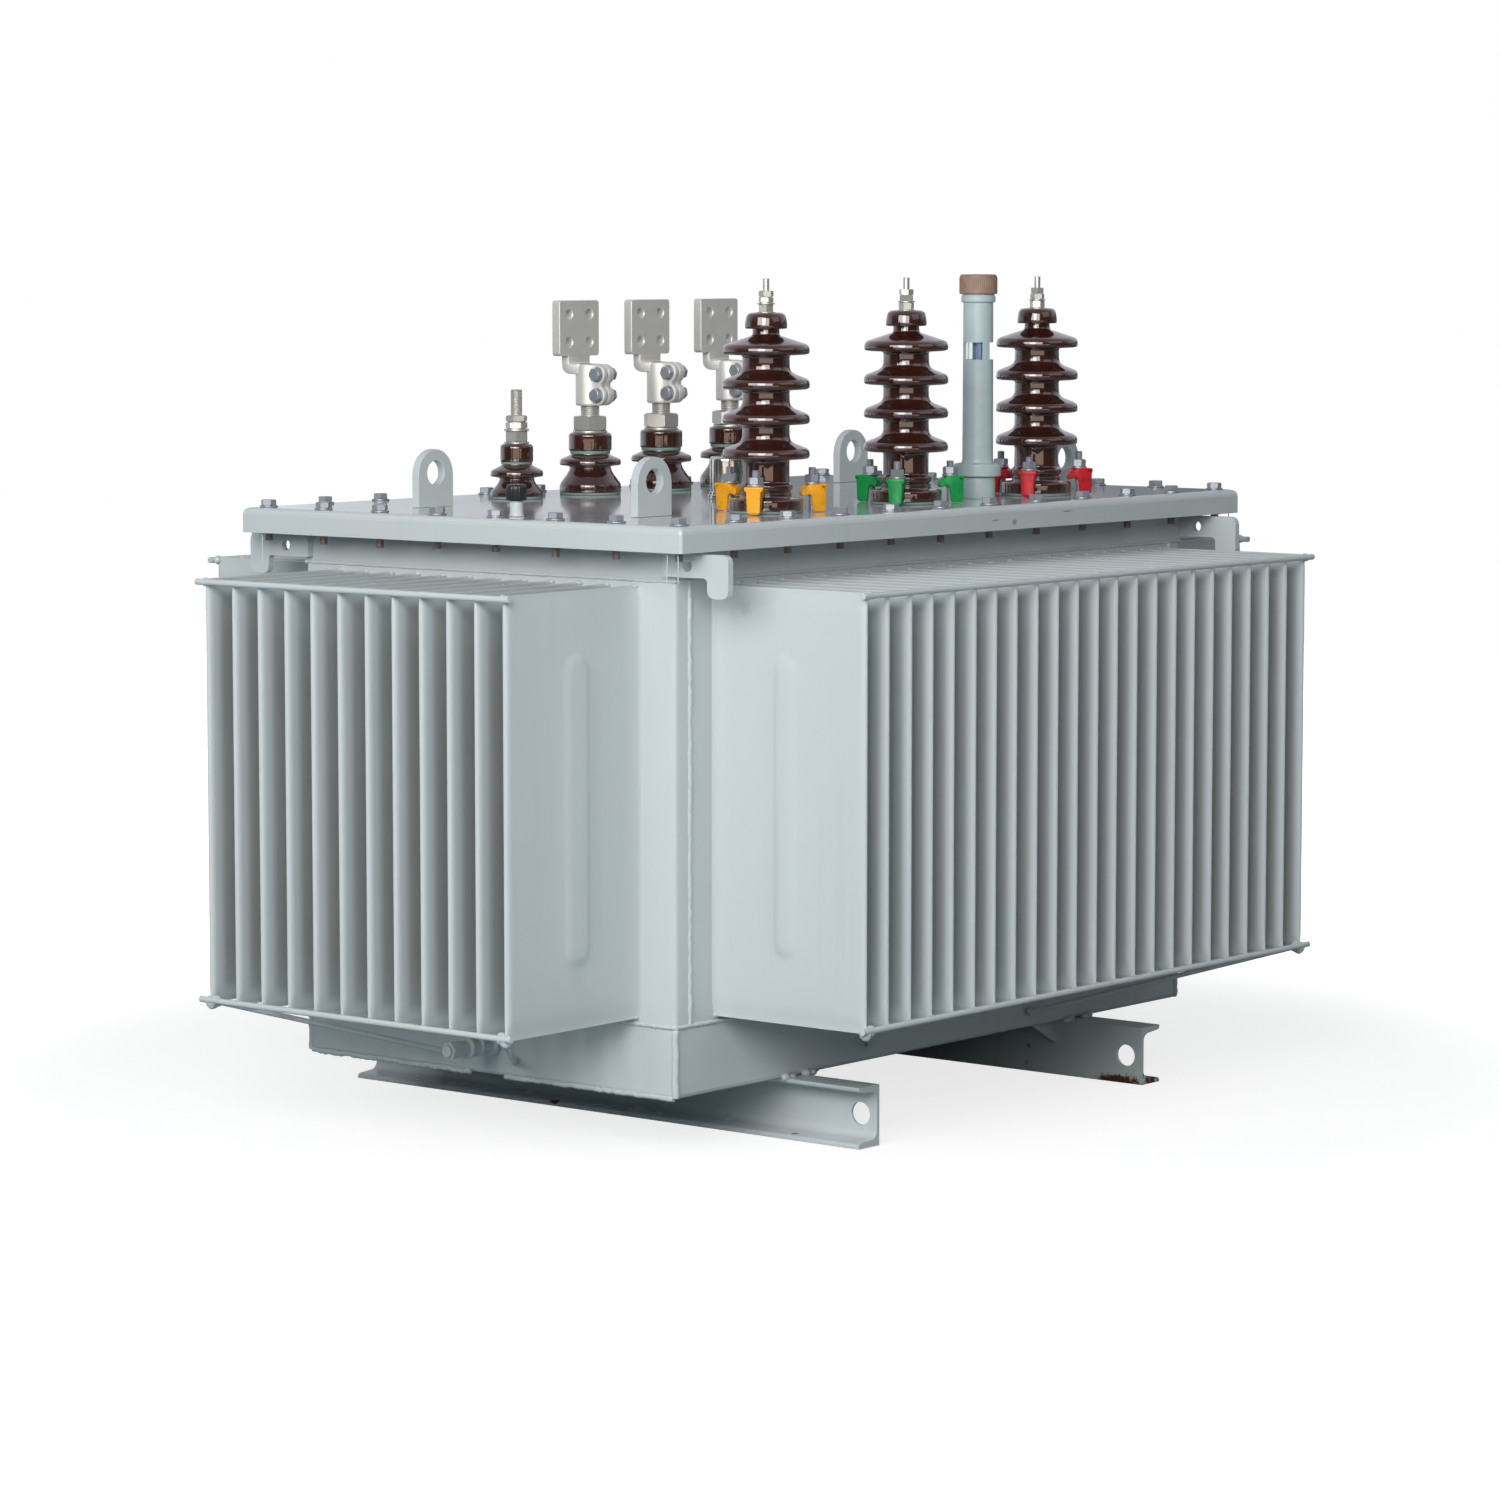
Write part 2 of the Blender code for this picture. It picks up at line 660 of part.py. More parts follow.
def upper_frame():
    """Vertical strip round the tank's top with a flange that carries the lid."""
    inner = (HALF_X - FRAME_PLATE, HALF_Y - FRAME_PLATE)
    flange = (HALF_X + FRAME_FLANGE, HALF_Y + FRAME_FLANGE)
    frame = box("tank_frame", (-HALF_X, -HALF_Y, FRAME_BOTTOM), (HALF_X, HALF_Y, FLANGE_TOP), "paint")
    rim = box("frame_flange", (-flange[0], -flange[1], FLANGE_BOTTOM), (flange[0], flange[1], FLANGE_TOP))
    weld(frame, rim)
    inside_low = (-inner[0], -inner[1], FRAME_BOTTOM - THROUGH)
    inside = box("frame_inside", inside_low, (inner[0], inner[1], FLANGE_TOP + THROUGH))
    cut(frame, inside)
    gasket_low = FLANGE_TOP + GAP
    ring_solid("lid_gasket", flange, (HALF_X, HALF_Y), gasket_low, gasket_low + GASKET, "gasket")


upper_frame()


def lid():
    """Cover plate with its edges folded down over the flange."""
    half = (HALF_X + LID_OVERHANG, HALF_Y + LID_OVERHANG)
    cover = box("lid", (-half[0], -half[1], LID_BOTTOM), (half[0], half[1], LID_TOP), "paint")
    bevel = cover.modifiers.new("folds", "BEVEL")
    bevel.width = LID_RADIUS
    bevel.segments = 4
    bevel.limit_method = "WEIGHT"
    weights = cover.data.attributes.new("bevel_weight_edge", "FLOAT", "EDGE")
    for edge in cover.data.edges:
        heights = [cover.data.vertices[i].co.z for i in edge.vertices]
        upright = abs(heights[0] - heights[1]) > LID_FOLD / 2
        top = min(heights) > LID_UNDER
        weights.data[edge.index].value = 1.0 if top else (0.45 if upright else 0.0)
    inner = (half[0] - LID_PLATE, half[1] - LID_PLATE)
    inside = box("lid_inside", (-inner[0], -inner[1], LID_BOTTOM - THROUGH), (inner[0], inner[1], LID_UNDER))
    cut(cover, inside)
    smooth(cover, 30.0)


lid()


def lifting_lug(name, x, y):
    """Upright plate with a round head and an eye, welded to the lid."""
    half = LUG_WIDTH / 2
    shoulder = LUG_HEIGHT - half
    points = [(-half, 0.0), (half, 0.0)]
    points.extend(arc((0.0, shoulder), half, 0.0, 180.0, 12))
    lug = plate(name, points, LUG_PLATE, upright_xz(x, y, SEAT), "paint")
    eye = cylinder(name + "_eye", (x, y, SEAT + LUG_EYE_HEIGHT), LUG_EYE, LUG_PLATE * 2, "Y")
    cut(lug, eye)
    smooth(lug)


for lug_name, side_x, side_y in (
    ("lifting_lug_front_left", -1, -1),
    ("lifting_lug_front_right", 1, -1),
    ("lifting_lug_back_left", -1, 1),
    ("lifting_lug_back_right", 1, 1),
):
    lifting_lug(lug_name, side_x * LUG_X, side_y * LUG_Y)


def tank_hook(name, side_x, side_y):
    """Flat hook at a tank corner: an arm outwards along Y with a lip turned down."""
    top = LID_BOTTOM - 0.003
    under = top - HOOK_ARM
    bottom = top - HOOK_DROP
    root = HALF_Y - HOOK_ROOT
    reach = HALF_Y + HOOK_REACH
    lip = reach - HOOK_LIP
    soft = HOOK_LIP * 0.3
    points = [(root, under), (root, top)]
    points.extend(arc((reach - soft, top - soft), soft, 90.0, 0.0, 3))
    points.extend(arc((reach - soft, bottom + soft), soft, 0.0, -90.0, 3))
    points.extend(arc((lip + soft, bottom + soft), soft, -90.0, -180.0, 3))
    points.extend(arc((lip - soft / 2, under - soft / 2), soft / 2, 0.0, 90.0, 3))
    outline = [(side_y * a, b) for a, b in points]
    x = side_x * (HALF_X + GAP + HOOK_PLATE / 2)
    hook = plate(name, outline, HOOK_PLATE, upright_yz(x, 0.0, 0.0), "paint")
    place = (x, side_y * (HALF_Y + HOOK_HOLE_REACH), top - HOOK_ARM / 2)
    cut(hook, cylinder(name + "_hole", place, HOOK_HOLE, HOOK_PLATE * 2, "X", ROUND_SMALL))
    smooth(hook)


for hook_name, side_x, side_y in (
    ("tank_hook_front_left", -1, -1),
    ("tank_hook_front_right", 1, -1),
    ("tank_hook_back_left", -1, 1),
    ("tank_hook_back_right", 1, 1),
):
    tank_hook(hook_name, side_x, side_y)


def hv_profile():
    """High-voltage porcelain from its top down: cap, neck, sheds, plain foot and collar."""
    top = HV_NECK_TOP + HV_CAP_HEIGHT
    points = [(0.0, top), (HV_CAP - 0.005, top), (HV_CAP, top - 0.008)]
    points.extend([(HV_CAP - 0.001, HV_NECK_TOP), (HV_NECK, HV_NECK_TOP)])
    for k in reversed(range(HV_SHEDS)):
        tip = HV_FIRST_SHED + k * HV_SHED_PITCH
        points.append((HV_BODY + 0.001, tip + 0.013))
        points.append((HV_SHED - 0.003, tip + 0.004))
        points.append((HV_SHED, tip))
        points.append((HV_SHED - 0.003, tip - 0.005))
        points.append((HV_BODY, tip - 0.007))
    points.append((HV_BODY, HV_COLLAR_HEIGHT + 0.005))
    points.append((HV_BODY + 0.003, HV_COLLAR_HEIGHT))
    points.append((HV_COLLAR - 0.002, HV_COLLAR_HEIGHT))
    points.extend([(HV_COLLAR, HV_COLLAR_HEIGHT - 0.002), (HV_COLLAR, 0.0), (0.0, 0.0)])
    return points


def hex_nut(name, centre, radius, height, turn=0.0, finish=None):
    """A six-sided nut blank standing on its centre point."""
    bm = bmesh.new()
    bmesh.ops.create_cone(bm, cap_ends=True, segments=6, radius1=radius, radius2=radius, depth=height)
    bmesh.ops.rotate(bm, matrix=Matrix.Rotation(math.radians(turn), 3, "Z"), verts=bm.verts)
    bmesh.ops.translate(bm, vec=(centre[0], centre[1], centre[2] + height / 2), verts=bm.verts)
    return from_bmesh(name, bm, finish)


def stud_profile(radius, length, washer=None, washer_height=0.0):
    """A stud from its top down, with an optional washer at its foot."""
    points = [(0.0, length), (radius * 0.8, length), (radius, length - radius * 0.25)]
    if washer:
        points.extend([(radius, washer_height), (washer, washer_height), (washer, 0.0), (0.0, 0.0)])
    else:
        points.extend([(radius, 0.0), (0.0, 0.0)])
    return points


def hv_terminal(name, x, y, z):
    """Threaded stud with two nuts and a washer above the porcelain cap."""
    stud = turned(name, stud_profile(HV_STUD, HV_STUD_LENGTH), (x, y, z), "tinned", ROUND_SMALL)
    nut_height = HV_NUT
    weld(stud, hex_nut(name + "_lower_nut", (x, y, z), HV_NUT, nut_height, 10.0))
    washer_z = z + nut_height
    washer = cylinder(name + "_washer", (x, y, washer_z + 0.0008), HV_NUT * 1.12, 0.003, "Z", ROUND_SMALL)
    weld(stud, washer)
    weld(stud, hex_nut(name + "_upper_nut", (x, y, washer_z + 0.002), HV_NUT, nut_height * 1.25, 25.0))


def clamp_claw(name, x, y, angle, finish):
    """Claw that stands beside a bushing collar and presses on its rim."""
    arm_low = HV_COLLAR_HEIGHT + GAP
    arm_top = arm_low + CLAMP_HEIGHT
    points = [
        (CLAMP_LEG_OUTER - 0.001, CLAMP_FOOT),
        (CLAMP_LEG_OUTER, arm_top - 0.006),
        (CLAMP_LEG_OUTER - 0.006, arm_top),
        (CLAMP_TIP + 0.002, arm_top),
        (CLAMP_TIP, arm_top - 0.003),
        (CLAMP_TIP, arm_low),
        (CLAMP_TIP + 0.006, arm_low),
        (CLAMP_LEG_INNER - 0.008, arm_low + 0.006),
        (CLAMP_LEG_INNER, arm_low - 0.004),
        (CLAMP_LEG_INNER, CLAMP_FOOT),
    ]
    turn = Matrix.Rotation(math.radians(angle), 4, "Z")
    place = Matrix.Translation((x, y, SEAT)) @ turn @ Matrix.Rotation(math.pi / 2, 4, "X")
    plate(name, points, CLAMP_WIDTH, place, finish)


for phase, column in (("a", -1), ("b", 0), ("c", 1)):
    bushing_x = ACTIVE_SHIFT + column * HV_PITCH
    turned("hv_porcelain_" + phase, hv_profile(), (bushing_x, HV_Y, SEAT), "porcelain")
    cap_top = SEAT + HV_NECK_TOP + HV_CAP_HEIGHT + GAP
    hv_terminal("hv_terminal_" + phase, bushing_x, HV_Y, cap_top)
    cap_finish = {"a": "yellow_cap", "b": "green_cap", "c": "red_cap"}[phase]
    for index in range(CLAMP_COUNT):
        claw_angle = CLAMP_TURN + index * 360.0 / CLAMP_COUNT
        clamp_claw(f"hv_clamp_{phase}{index + 1}", bushing_x, HV_Y, claw_angle, cap_finish)


def lv_profile(crown, neck, shed, height):
    """Low-voltage porcelain from its top down: crown, gasket groove, shed and bell."""
    share = height / LV_HEIGHT
    skirt = LV_SKIRT_HEIGHT * share
    bell = LV_BELL_HEIGHT * share
    return [
        (0.0, height),
        (crown - 0.003, height),
        (crown, height - 0.003),
        (crown, skirt),
        (neck, skirt),
        (neck, skirt - 0.006),
        (shed - 0.003, bell + 0.011 * share),
        (shed, bell + 0.008 * share),
        (shed - 0.002, bell + 0.005 * share),
        (neck + 0.002, bell),
        (shed - 0.006, bell - 0.015 * share),
        (shed, bell - 0.021 * share),
        (shed, 0.0),
        (0.0, 0.0),
    ]


def lv_stem(name, x, y, turn):
    """Washer, large nut and stud that carry a palm terminal."""
    z = SEAT + LV_HEIGHT + GAP
    length = PALM_BOTTOM + LV_STUD_IN_CLAMP
    profile = stud_profile(LV_STUD, length, LV_WASHER, LV_WASHER_HEIGHT)
    stem = turned(name, profile, (x, y, z), "tinned")
    weld(stem, hex_nut(name + "_nut", (x, y, z + LV_WASHER_HEIGHT * 0.8), LV_NUT, LV_NUT_HEIGHT, turn))


def palm_terminal(name, x, y):
    """Split clamp on the stud with two bolt ears, an elbow and a drilled palm."""
    z = SEAT + LV_HEIGHT + GAP + PALM_BOTTOM
    top = z + PALM_BODY_HEIGHT
    middle = (x, y, z + PALM_BODY_HEIGHT / 2)
    palm = cylinder(name, middle, PALM_BODY, PALM_BODY_HEIGHT, "Z", ROUND_LARGE, "tinned")
    middle = PALM_BODY_HEIGHT / 2
    half_space = PALM_BOLT_SPACING / 2
    ears = [(0.0, middle + half_space + PALM_EAR_RADIUS)]
    ears.extend(arc((-PALM_EAR_REACH, middle + half_space), PALM_EAR_RADIUS, 90.0, 235.0, 4))
    ears.extend(arc((-PALM_EAR_REACH, middle - half_space), PALM_EAR_RADIUS, 125.0, 270.0, 4))
    ears.append((0.0, middle - half_space - PALM_EAR_RADIUS))
    ear_middle = (PALM_EAR_LOW + PALM_EAR_HIGH) / 2
    ear_width = PALM_EAR_HIGH - PALM_EAR_LOW
    weld(palm, plate(name + "_ears", ears, ear_width, upright_yz(x + ear_middle, y, z)))
    back = PALM_OFFSET + PALM_PLATE
    plate_low = PALM_BODY_HEIGHT + PALM_NECK_RISE
    elbow_radius = back - PALM_BODY * 0.6
    elbow_centre = (back - elbow_radius, PALM_BODY_HEIGHT + 0.003)
    elbow = [(PALM_OFFSET, plate_low + 0.002), (back, plate_low + 0.002)]
    elbow.extend(arc(elbow_centre, elbow_radius, 0.0, -90.0, 4))
    elbow.extend([(0.0, elbow_centre[1] - elbow_radius), (0.0, PALM_BODY_HEIGHT - 0.002)])
    elbow.append((PALM_OFFSET, PALM_BODY_HEIGHT - 0.002))
    weld(palm, plate(name + "_elbow", elbow, PALM_NECK_WIDTH, upright_yz(x, y, z)))
    half = PALM_WIDTH / 2
    high = plate_low + PALM_PLATE_HEIGHT
    soft = PALM_CORNER
    face = arc((half - soft, plate_low + soft), soft, -90.0, 0.0, 2)
    face.extend(arc((half - soft, high - soft), soft, 0.0, 90.0, 2))
    face.extend(arc((-half + soft, high - soft), soft, 90.0, 180.0, 2))
    face.extend(arc((-half + soft, plate_low + soft), soft, 180.0, 270.0, 2))
    face_y = y + PALM_OFFSET + PALM_PLATE / 2
    weld(palm, plate(name + "_face", face, PALM_PLATE, upright_xz(x, face_y, z)))
    centre_z = z + plate_low + PALM_PLATE_HEIGHT / 2
    for side_x in (-1, 1):
        for side_z in (-1, 1):
            place = (x + side_x * PALM_HOLE_X, face_y, centre_z + side_z * PALM_HOLE_Z)
            cut(palm, cylinder(name + "_bolt_hole", place, PALM_HOLE, PALM_PLATE * 2, "Y", 10))
    bore_depth = LV_STUD_IN_CLAMP + GAP
    cut(palm, cylinder(name + "_bore", (x, y, z), LV_STUD + GAP, bore_depth * 2, "Z"))
    slot_x = x + (PALM_EAR_LOW + PALM_EAR_HIGH) / 2
    slot_reach = PALM_EAR_REACH + PALM_EAR_RADIUS
    slot_low = (slot_x - PALM_SLOT / 2, y - slot_reach - THROUGH, z - THROUGH)
    cut(palm, box(name + "_slot", slot_low, (slot_x + PALM_SLOT / 2, y, z + bore_depth)))
    solid = baked(palm, name, "tinned")
    smooth(solid)


lv_columns = [("a", -0.5, 0.0), ("b", 0.5, 18.0), ("c", 1.5, 8.0)]
for phase, column, nut_turn in lv_columns:
    lv_x = ACTIVE_SHIFT + column * LV_PITCH
    profile = lv_profile(LV_TOP, LV_NECK, LV_SHED, LV_HEIGHT)
    turned("lv_porcelain_" + phase, profile, (lv_x, LV_Y, SEAT), "porcelain")
    lv_stem("lv_stem_" + phase, lv_x, LV_Y, nut_turn)
    palm_terminal("lv_palm_" + phase, lv_x, LV_Y)


def neutral_bushing():
    """Smaller bushing at the end of the low-voltage row, with a plain stud and nuts."""
    x = ACTIVE_SHIFT - 1.5 * LV_PITCH
    porcelain = lv_profile(NEUTRAL_TOP, NEUTRAL_NECK, NEUTRAL_SHED, NEUTRAL_HEIGHT)
    turned("neutral_porcelain", porcelain, (x, LV_Y, SEAT), "porcelain")
    z = SEAT + NEUTRAL_HEIGHT + GAP
    washer = NEUTRAL_NUT * 1.05
    profile = stud_profile(NEUTRAL_STUD, NEUTRAL_STUD_LENGTH, washer, LV_WASHER_HEIGHT)
    stud = turned("neutral_terminal", profile, (x, LV_Y, z), "tinned", ROUND_SMALL)
    nut_z = z + LV_WASHER_HEIGHT * 0.8
    weld(stud, hex_nut("neutral_lower_nut", (x, LV_Y, nut_z), NEUTRAL_NUT, NEUTRAL_NUT * 0.8, 5.0))
    ring_z = nut_z + NEUTRAL_NUT * 0.8
    ring = cylinder("neutral_ring", (x, LV_Y, ring_z + 0.001), washer, 0.004, "Z", ROUND_SMALL)
    weld(stud, ring)
    weld(stud, hex_nut("neutral_upper_nut", (x, LV_Y, ring_z + 0.002), NEUTRAL_NUT, NEUTRAL_NUT * 0.8, 20.0))


neutral_bushing()


def oil_gauge():
    """Level gauge: a flanged stub, a tube with three windows round it, and a cap."""
    flange_low = GAUGE_STUB_HEIGHT
    flange_top = flange_low + GAUGE_FLANGE_HEIGHT
    tube_top = flange_top + GAUGE_TUBE_HEIGHT
    floor = GAUGE_WINDOW_LOW - 0.012
    profile = [
        (0.0, floor),
        (GAUGE_BORE, floor),
        (GAUGE_BORE, tube_top),
        (GAUGE_TUBE + 0.0018, tube_top),
        (GAUGE_TUBE + 0.0018, tube_top - 0.010),
        (GAUGE_TUBE, tube_top - 0.012),
        (GAUGE_TUBE, flange_top + 0.004),
        (GAUGE_TUBE + 0.004, flange_top),
        (GAUGE_FLANGE, flange_top - 0.002),
        (GAUGE_FLANGE, flange_low),
        (GAUGE_STUB, flange_low),
        (GAUGE_STUB, 0.0),
        (0.0, 0.0),
    ]
    gauge = turned("oil_gauge", profile, (GAUGE_X, GAUGE_Y, SEAT), "gauge_body")
    middle = SEAT + (GAUGE_WINDOW_LOW + GAUGE_WINDOW_HIGH) / 2
    height = GAUGE_WINDOW_HIGH - GAUGE_WINDOW_LOW
    for angle in GAUGE_WINDOW_TURNS:
        turn = Matrix.Rotation(math.radians(angle), 4, "Z")
        half = (GAUGE_WINDOW_DEPTH, GAUGE_WINDOW_WIDTH / 2, height / 2)
        window = box("gauge_window", [-value for value in half], half)
        window.data.transform(turn @ Matrix.Translation((GAUGE_TUBE, 0.0, 0.0)))
        window.data.transform(Matrix.Translation((GAUGE_X, GAUGE_Y, middle)))
        cut(gauge, window)
    cap_z = SEAT + tube_top + GAP
    cap = [
        (0.0, GAUGE_CAP_HEIGHT),
        (GAUGE_CAP - 0.002, GAUGE_CAP_HEIGHT),
        (GAUGE_CAP, GAUGE_CAP_HEIGHT - 0.002),
        (GAUGE_CAP - 0.0008, 0.0),
        (0.0, 0.0),
    ]
    turned("gauge_cap", cap, (GAUGE_X, GAUGE_Y, cap_z), "tan_cap")


oil_gauge()

relief_profile = [
    (0.0, RELIEF_HEIGHT),
    (RELIEF_RADIUS - 0.006, RELIEF_HEIGHT),
    (RELIEF_RADIUS - 0.001, RELIEF_HEIGHT - 0.003),
    (RELIEF_RADIUS, RELIEF_HEIGHT - 0.007),
    (RELIEF_RADIUS, 0.011),
    (RELIEF_RADIUS + 0.001, 0.009),
    (RELIEF_RADIUS + 0.003, 0.009),
    (RELIEF_RADIUS + 0.003, 0.0),
    (0.0, 0.0),
]
turned("relief_valve", relief_profile, (RELIEF_X, RELIEF_Y, SEAT), "stainless")

filler_profile = [
    (0.0, FILLER_STUB_HEIGHT),
    (FILLER_STUB, FILLER_STUB_HEIGHT),
    (FILLER_STUB, 0.003),
    (FILLER_STUB + 0.002, 0.0),
    (0.0, 0.0),
]
turned("filler_neck", filler_profile, (FILLER_X, FILLER_Y, SEAT), "paint", ROUND_SMALL)
filler_cap_profile = [
    (0.0, FILLER_CAP_HEIGHT),
    (FILLER_CAP - 0.003, FILLER_CAP_HEIGHT),
    (FILLER_CAP, FILLER_CAP_HEIGHT - 0.002),
    (FILLER_CAP, FILLER_CAP_HEIGHT - 0.007),
    (FILLER_CAP - 0.0025, FILLER_CAP_HEIGHT - 0.009),
    (FILLER_CAP - 0.0025, 0.0),
    (0.0, 0.0),
]
cap_place = (FILLER_X, FILLER_Y, SEAT + FILLER_STUB_HEIGHT + GAP)
turned("filler_cap", filler_cap_profile, cap_place, "black_cap", ROUND_SMALL)

drain_profile = [
    (0.0, DRAIN_LENGTH),
    (DRAIN_RADIUS * 0.72, DRAIN_LENGTH),
    (DRAIN_RADIUS * 0.72, DRAIN_LENGTH - 0.014),
    (DRAIN_RADIUS * 0.5, DRAIN_LENGTH - 0.015),
    (DRAIN_RADIUS * 0.5, DRAIN_LENGTH - 0.022),
    (DRAIN_RADIUS, DRAIN_LENGTH - 0.023),
    (DRAIN_RADIUS, DRAIN_LENGTH - 0.044),
    (DRAIN_RADIUS * 0.8, DRAIN_LENGTH - 0.046),
    (DRAIN_RADIUS * 0.8, 0.014),
    (DRAIN_RADIUS * 1.06, 0.012),
    (DRAIN_RADIUS * 1.06, 0.0),
    (0.0, 0.0),
]
drain_place = (-HALF_X - GAP, DRAIN_Y, DRAIN_HEIGHT)
drain_turn = Matrix.Rotation(-math.pi / 2, 4, "Y")
turned("drain_valve", drain_profile, drain_place, "paint", ROUND_SMALL, drain_turn)
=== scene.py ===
# %% [markdown]
# # The finish of an oil-filled distribution transformer
#
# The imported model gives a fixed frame: every piece already stands at its real size and place.
# This script adds the finish. It reads the frame first, keeps its box, and builds each fine piece
# round the place that the frame gives it. Places are in metres, outlines in millimetres, and +Z
# is up.

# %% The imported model
import json
import math
import random

import bmesh
import bpy
from mathutils import Matrix, Vector

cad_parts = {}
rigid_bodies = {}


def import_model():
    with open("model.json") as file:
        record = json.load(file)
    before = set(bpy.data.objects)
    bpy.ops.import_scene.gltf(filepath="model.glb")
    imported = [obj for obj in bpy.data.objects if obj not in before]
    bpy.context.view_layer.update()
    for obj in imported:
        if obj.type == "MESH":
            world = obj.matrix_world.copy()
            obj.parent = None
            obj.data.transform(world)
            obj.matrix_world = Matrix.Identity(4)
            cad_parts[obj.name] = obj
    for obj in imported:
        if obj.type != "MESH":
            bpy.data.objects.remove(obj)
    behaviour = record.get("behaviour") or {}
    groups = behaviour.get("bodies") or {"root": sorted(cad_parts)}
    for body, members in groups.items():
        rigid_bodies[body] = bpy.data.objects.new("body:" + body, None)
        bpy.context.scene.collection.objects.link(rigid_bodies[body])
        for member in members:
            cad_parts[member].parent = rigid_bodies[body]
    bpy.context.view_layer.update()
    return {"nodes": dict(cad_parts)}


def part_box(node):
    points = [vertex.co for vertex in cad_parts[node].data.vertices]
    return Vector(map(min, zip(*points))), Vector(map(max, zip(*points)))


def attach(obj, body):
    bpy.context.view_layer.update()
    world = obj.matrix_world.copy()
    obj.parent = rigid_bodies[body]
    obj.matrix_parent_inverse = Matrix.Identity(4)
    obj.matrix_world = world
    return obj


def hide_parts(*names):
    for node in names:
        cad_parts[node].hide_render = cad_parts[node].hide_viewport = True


for old in list(bpy.data.objects):
    bpy.data.objects.remove(old, do_unlink=True)
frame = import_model()
nodes = frame["nodes"]
MM = 0.001

# %% [markdown]
# ## Camera
#
# The photograph was taken from the near corner with a long lens, a little above the lid.
# A long lens far away keeps the uprights nearly parallel. The place, the turn and the lens were
# fitted to the fin edges and the lid's corners, so they are kept as plain measured values.

# %% Camera
CAMERA_PLACE = Vector((-5.3347, -4.3133, 1.1548))
CAMERA_TURN = math.radians(50.954)
CAMERA_DIP = math.radians(5.774)
CAMERA_LENS = 119.67

camera_data = bpy.data.cameras.new("camera")
camera_data.lens = CAMERA_LENS
camera_data.sensor_width = 36.0
camera = bpy.data.objects.new("camera", camera_data)
bpy.context.scene.collection.objects.link(camera)
level = Vector((math.sin(CAMERA_TURN), math.cos(CAMERA_TURN), 0.0))
gaze = level * math.cos(CAMERA_DIP) - Vector((0.0, 0.0, math.sin(CAMERA_DIP)))
camera.location = CAMERA_PLACE
camera.rotation_euler = gaze.to_track_quat("-Z", "Y").to_euler()
bpy.context.scene.camera = camera
bpy.context.scene.view_settings.view_transform = "Standard"
print("camera looks along", [round(v, 3) for v in gaze])

# %% [markdown]
# ## Small tools for node trees
#
# Every finish is a node tree, and written out in full such a tree is mostly typing. So a few short
# helpers come first. One adds a node with its settings, and one feeds a socket: a plain number goes
# straight onto it, and anything else is linked. The others build on these two.

# %% Node helpers
def add_node(tree, kind, **settings):
    """A node of one kind; settings name its properties."""
    node = tree.nodes.new(kind)
    for key, value in settings.items():
        setattr(node, key, value)
    return node


def feed(tree, socket, value):
    """Sets a socket to a plain value, or links it to another socket."""
    if isinstance(value, bpy.types.NodeSocket):
        tree.links.new(value, socket)
    else:
        socket.default_value = value


def maths(tree, operation, first, second=None, third=None, clamp=False):
    """One step of arithmetic on numbers."""
    node = add_node(tree, "ShaderNodeMath", operation=operation, use_clamp=clamp)
    for socket, value in zip(node.inputs, (first, second, third)):
        if value is not None:
            feed(tree, socket, value)
    return node.outputs[0]


def vector_maths(tree, operation, first, second=None):
    """One step of arithmetic on vectors. A length or a dot product comes out as a number."""
    node = add_node(tree, "ShaderNodeVectorMath", operation=operation)
    feed(tree, node.inputs[0], first)
    if second is not None:
        feed(tree, node.inputs[1], second)
    return node.outputs["Value" if operation in ("LENGTH", "DOT_PRODUCT") else "Vector"]


def join_axes(tree, x, y, z):
    node = add_node(tree, "ShaderNodeCombineXYZ")
    for socket, value in zip(node.inputs, (x, y, z)):
        feed(tree, socket, value)
    return node.outputs[0]


def axis_of(tree, vector, axis):
    node = add_node(tree, "ShaderNodeSeparateXYZ")
    feed(tree, node.inputs[0], vector)
    return node.outputs[axis]


def object_place(tree):
    """Each point's own place on the object, in metres."""
    return add_node(tree, "ShaderNodeTexCoord").outputs["Object"]


def blend_colours(tree, share, first, second):
    node = add_node(tree, "ShaderNodeMix", data_type="RGBA")
    feed(tree, node.inputs["Factor"], share)
    feed(tree, node.inputs["A"], first)
    feed(tree, node.inputs["B"], second)
    return node.outputs["Result"]


def noise_at(tree, place, scale, detail=3.0, rough=0.5):
    node = add_node(tree, "ShaderNodeTexNoise")
    feed(tree, node.inputs["Vector"], place)
    feed(tree, node.inputs["Scale"], scale)
    node.inputs["Detail"].default_value = detail
    node.inputs["Roughness"].default_value = rough
    return node.outputs["Fac"]


def between(tree, value, low, high):
    """0 below low, 1 above high, and a smooth step between."""
    node = add_node(tree, "ShaderNodeMapRange", interpolation_type="SMOOTHSTEP")
    feed(tree, node.inputs["Value"], value)
    feed(tree, node.inputs["From Min"], low)
    feed(tree, node.inputs["From Max"], high)
    return node.outputs["Result"]


print("node helpers ready")
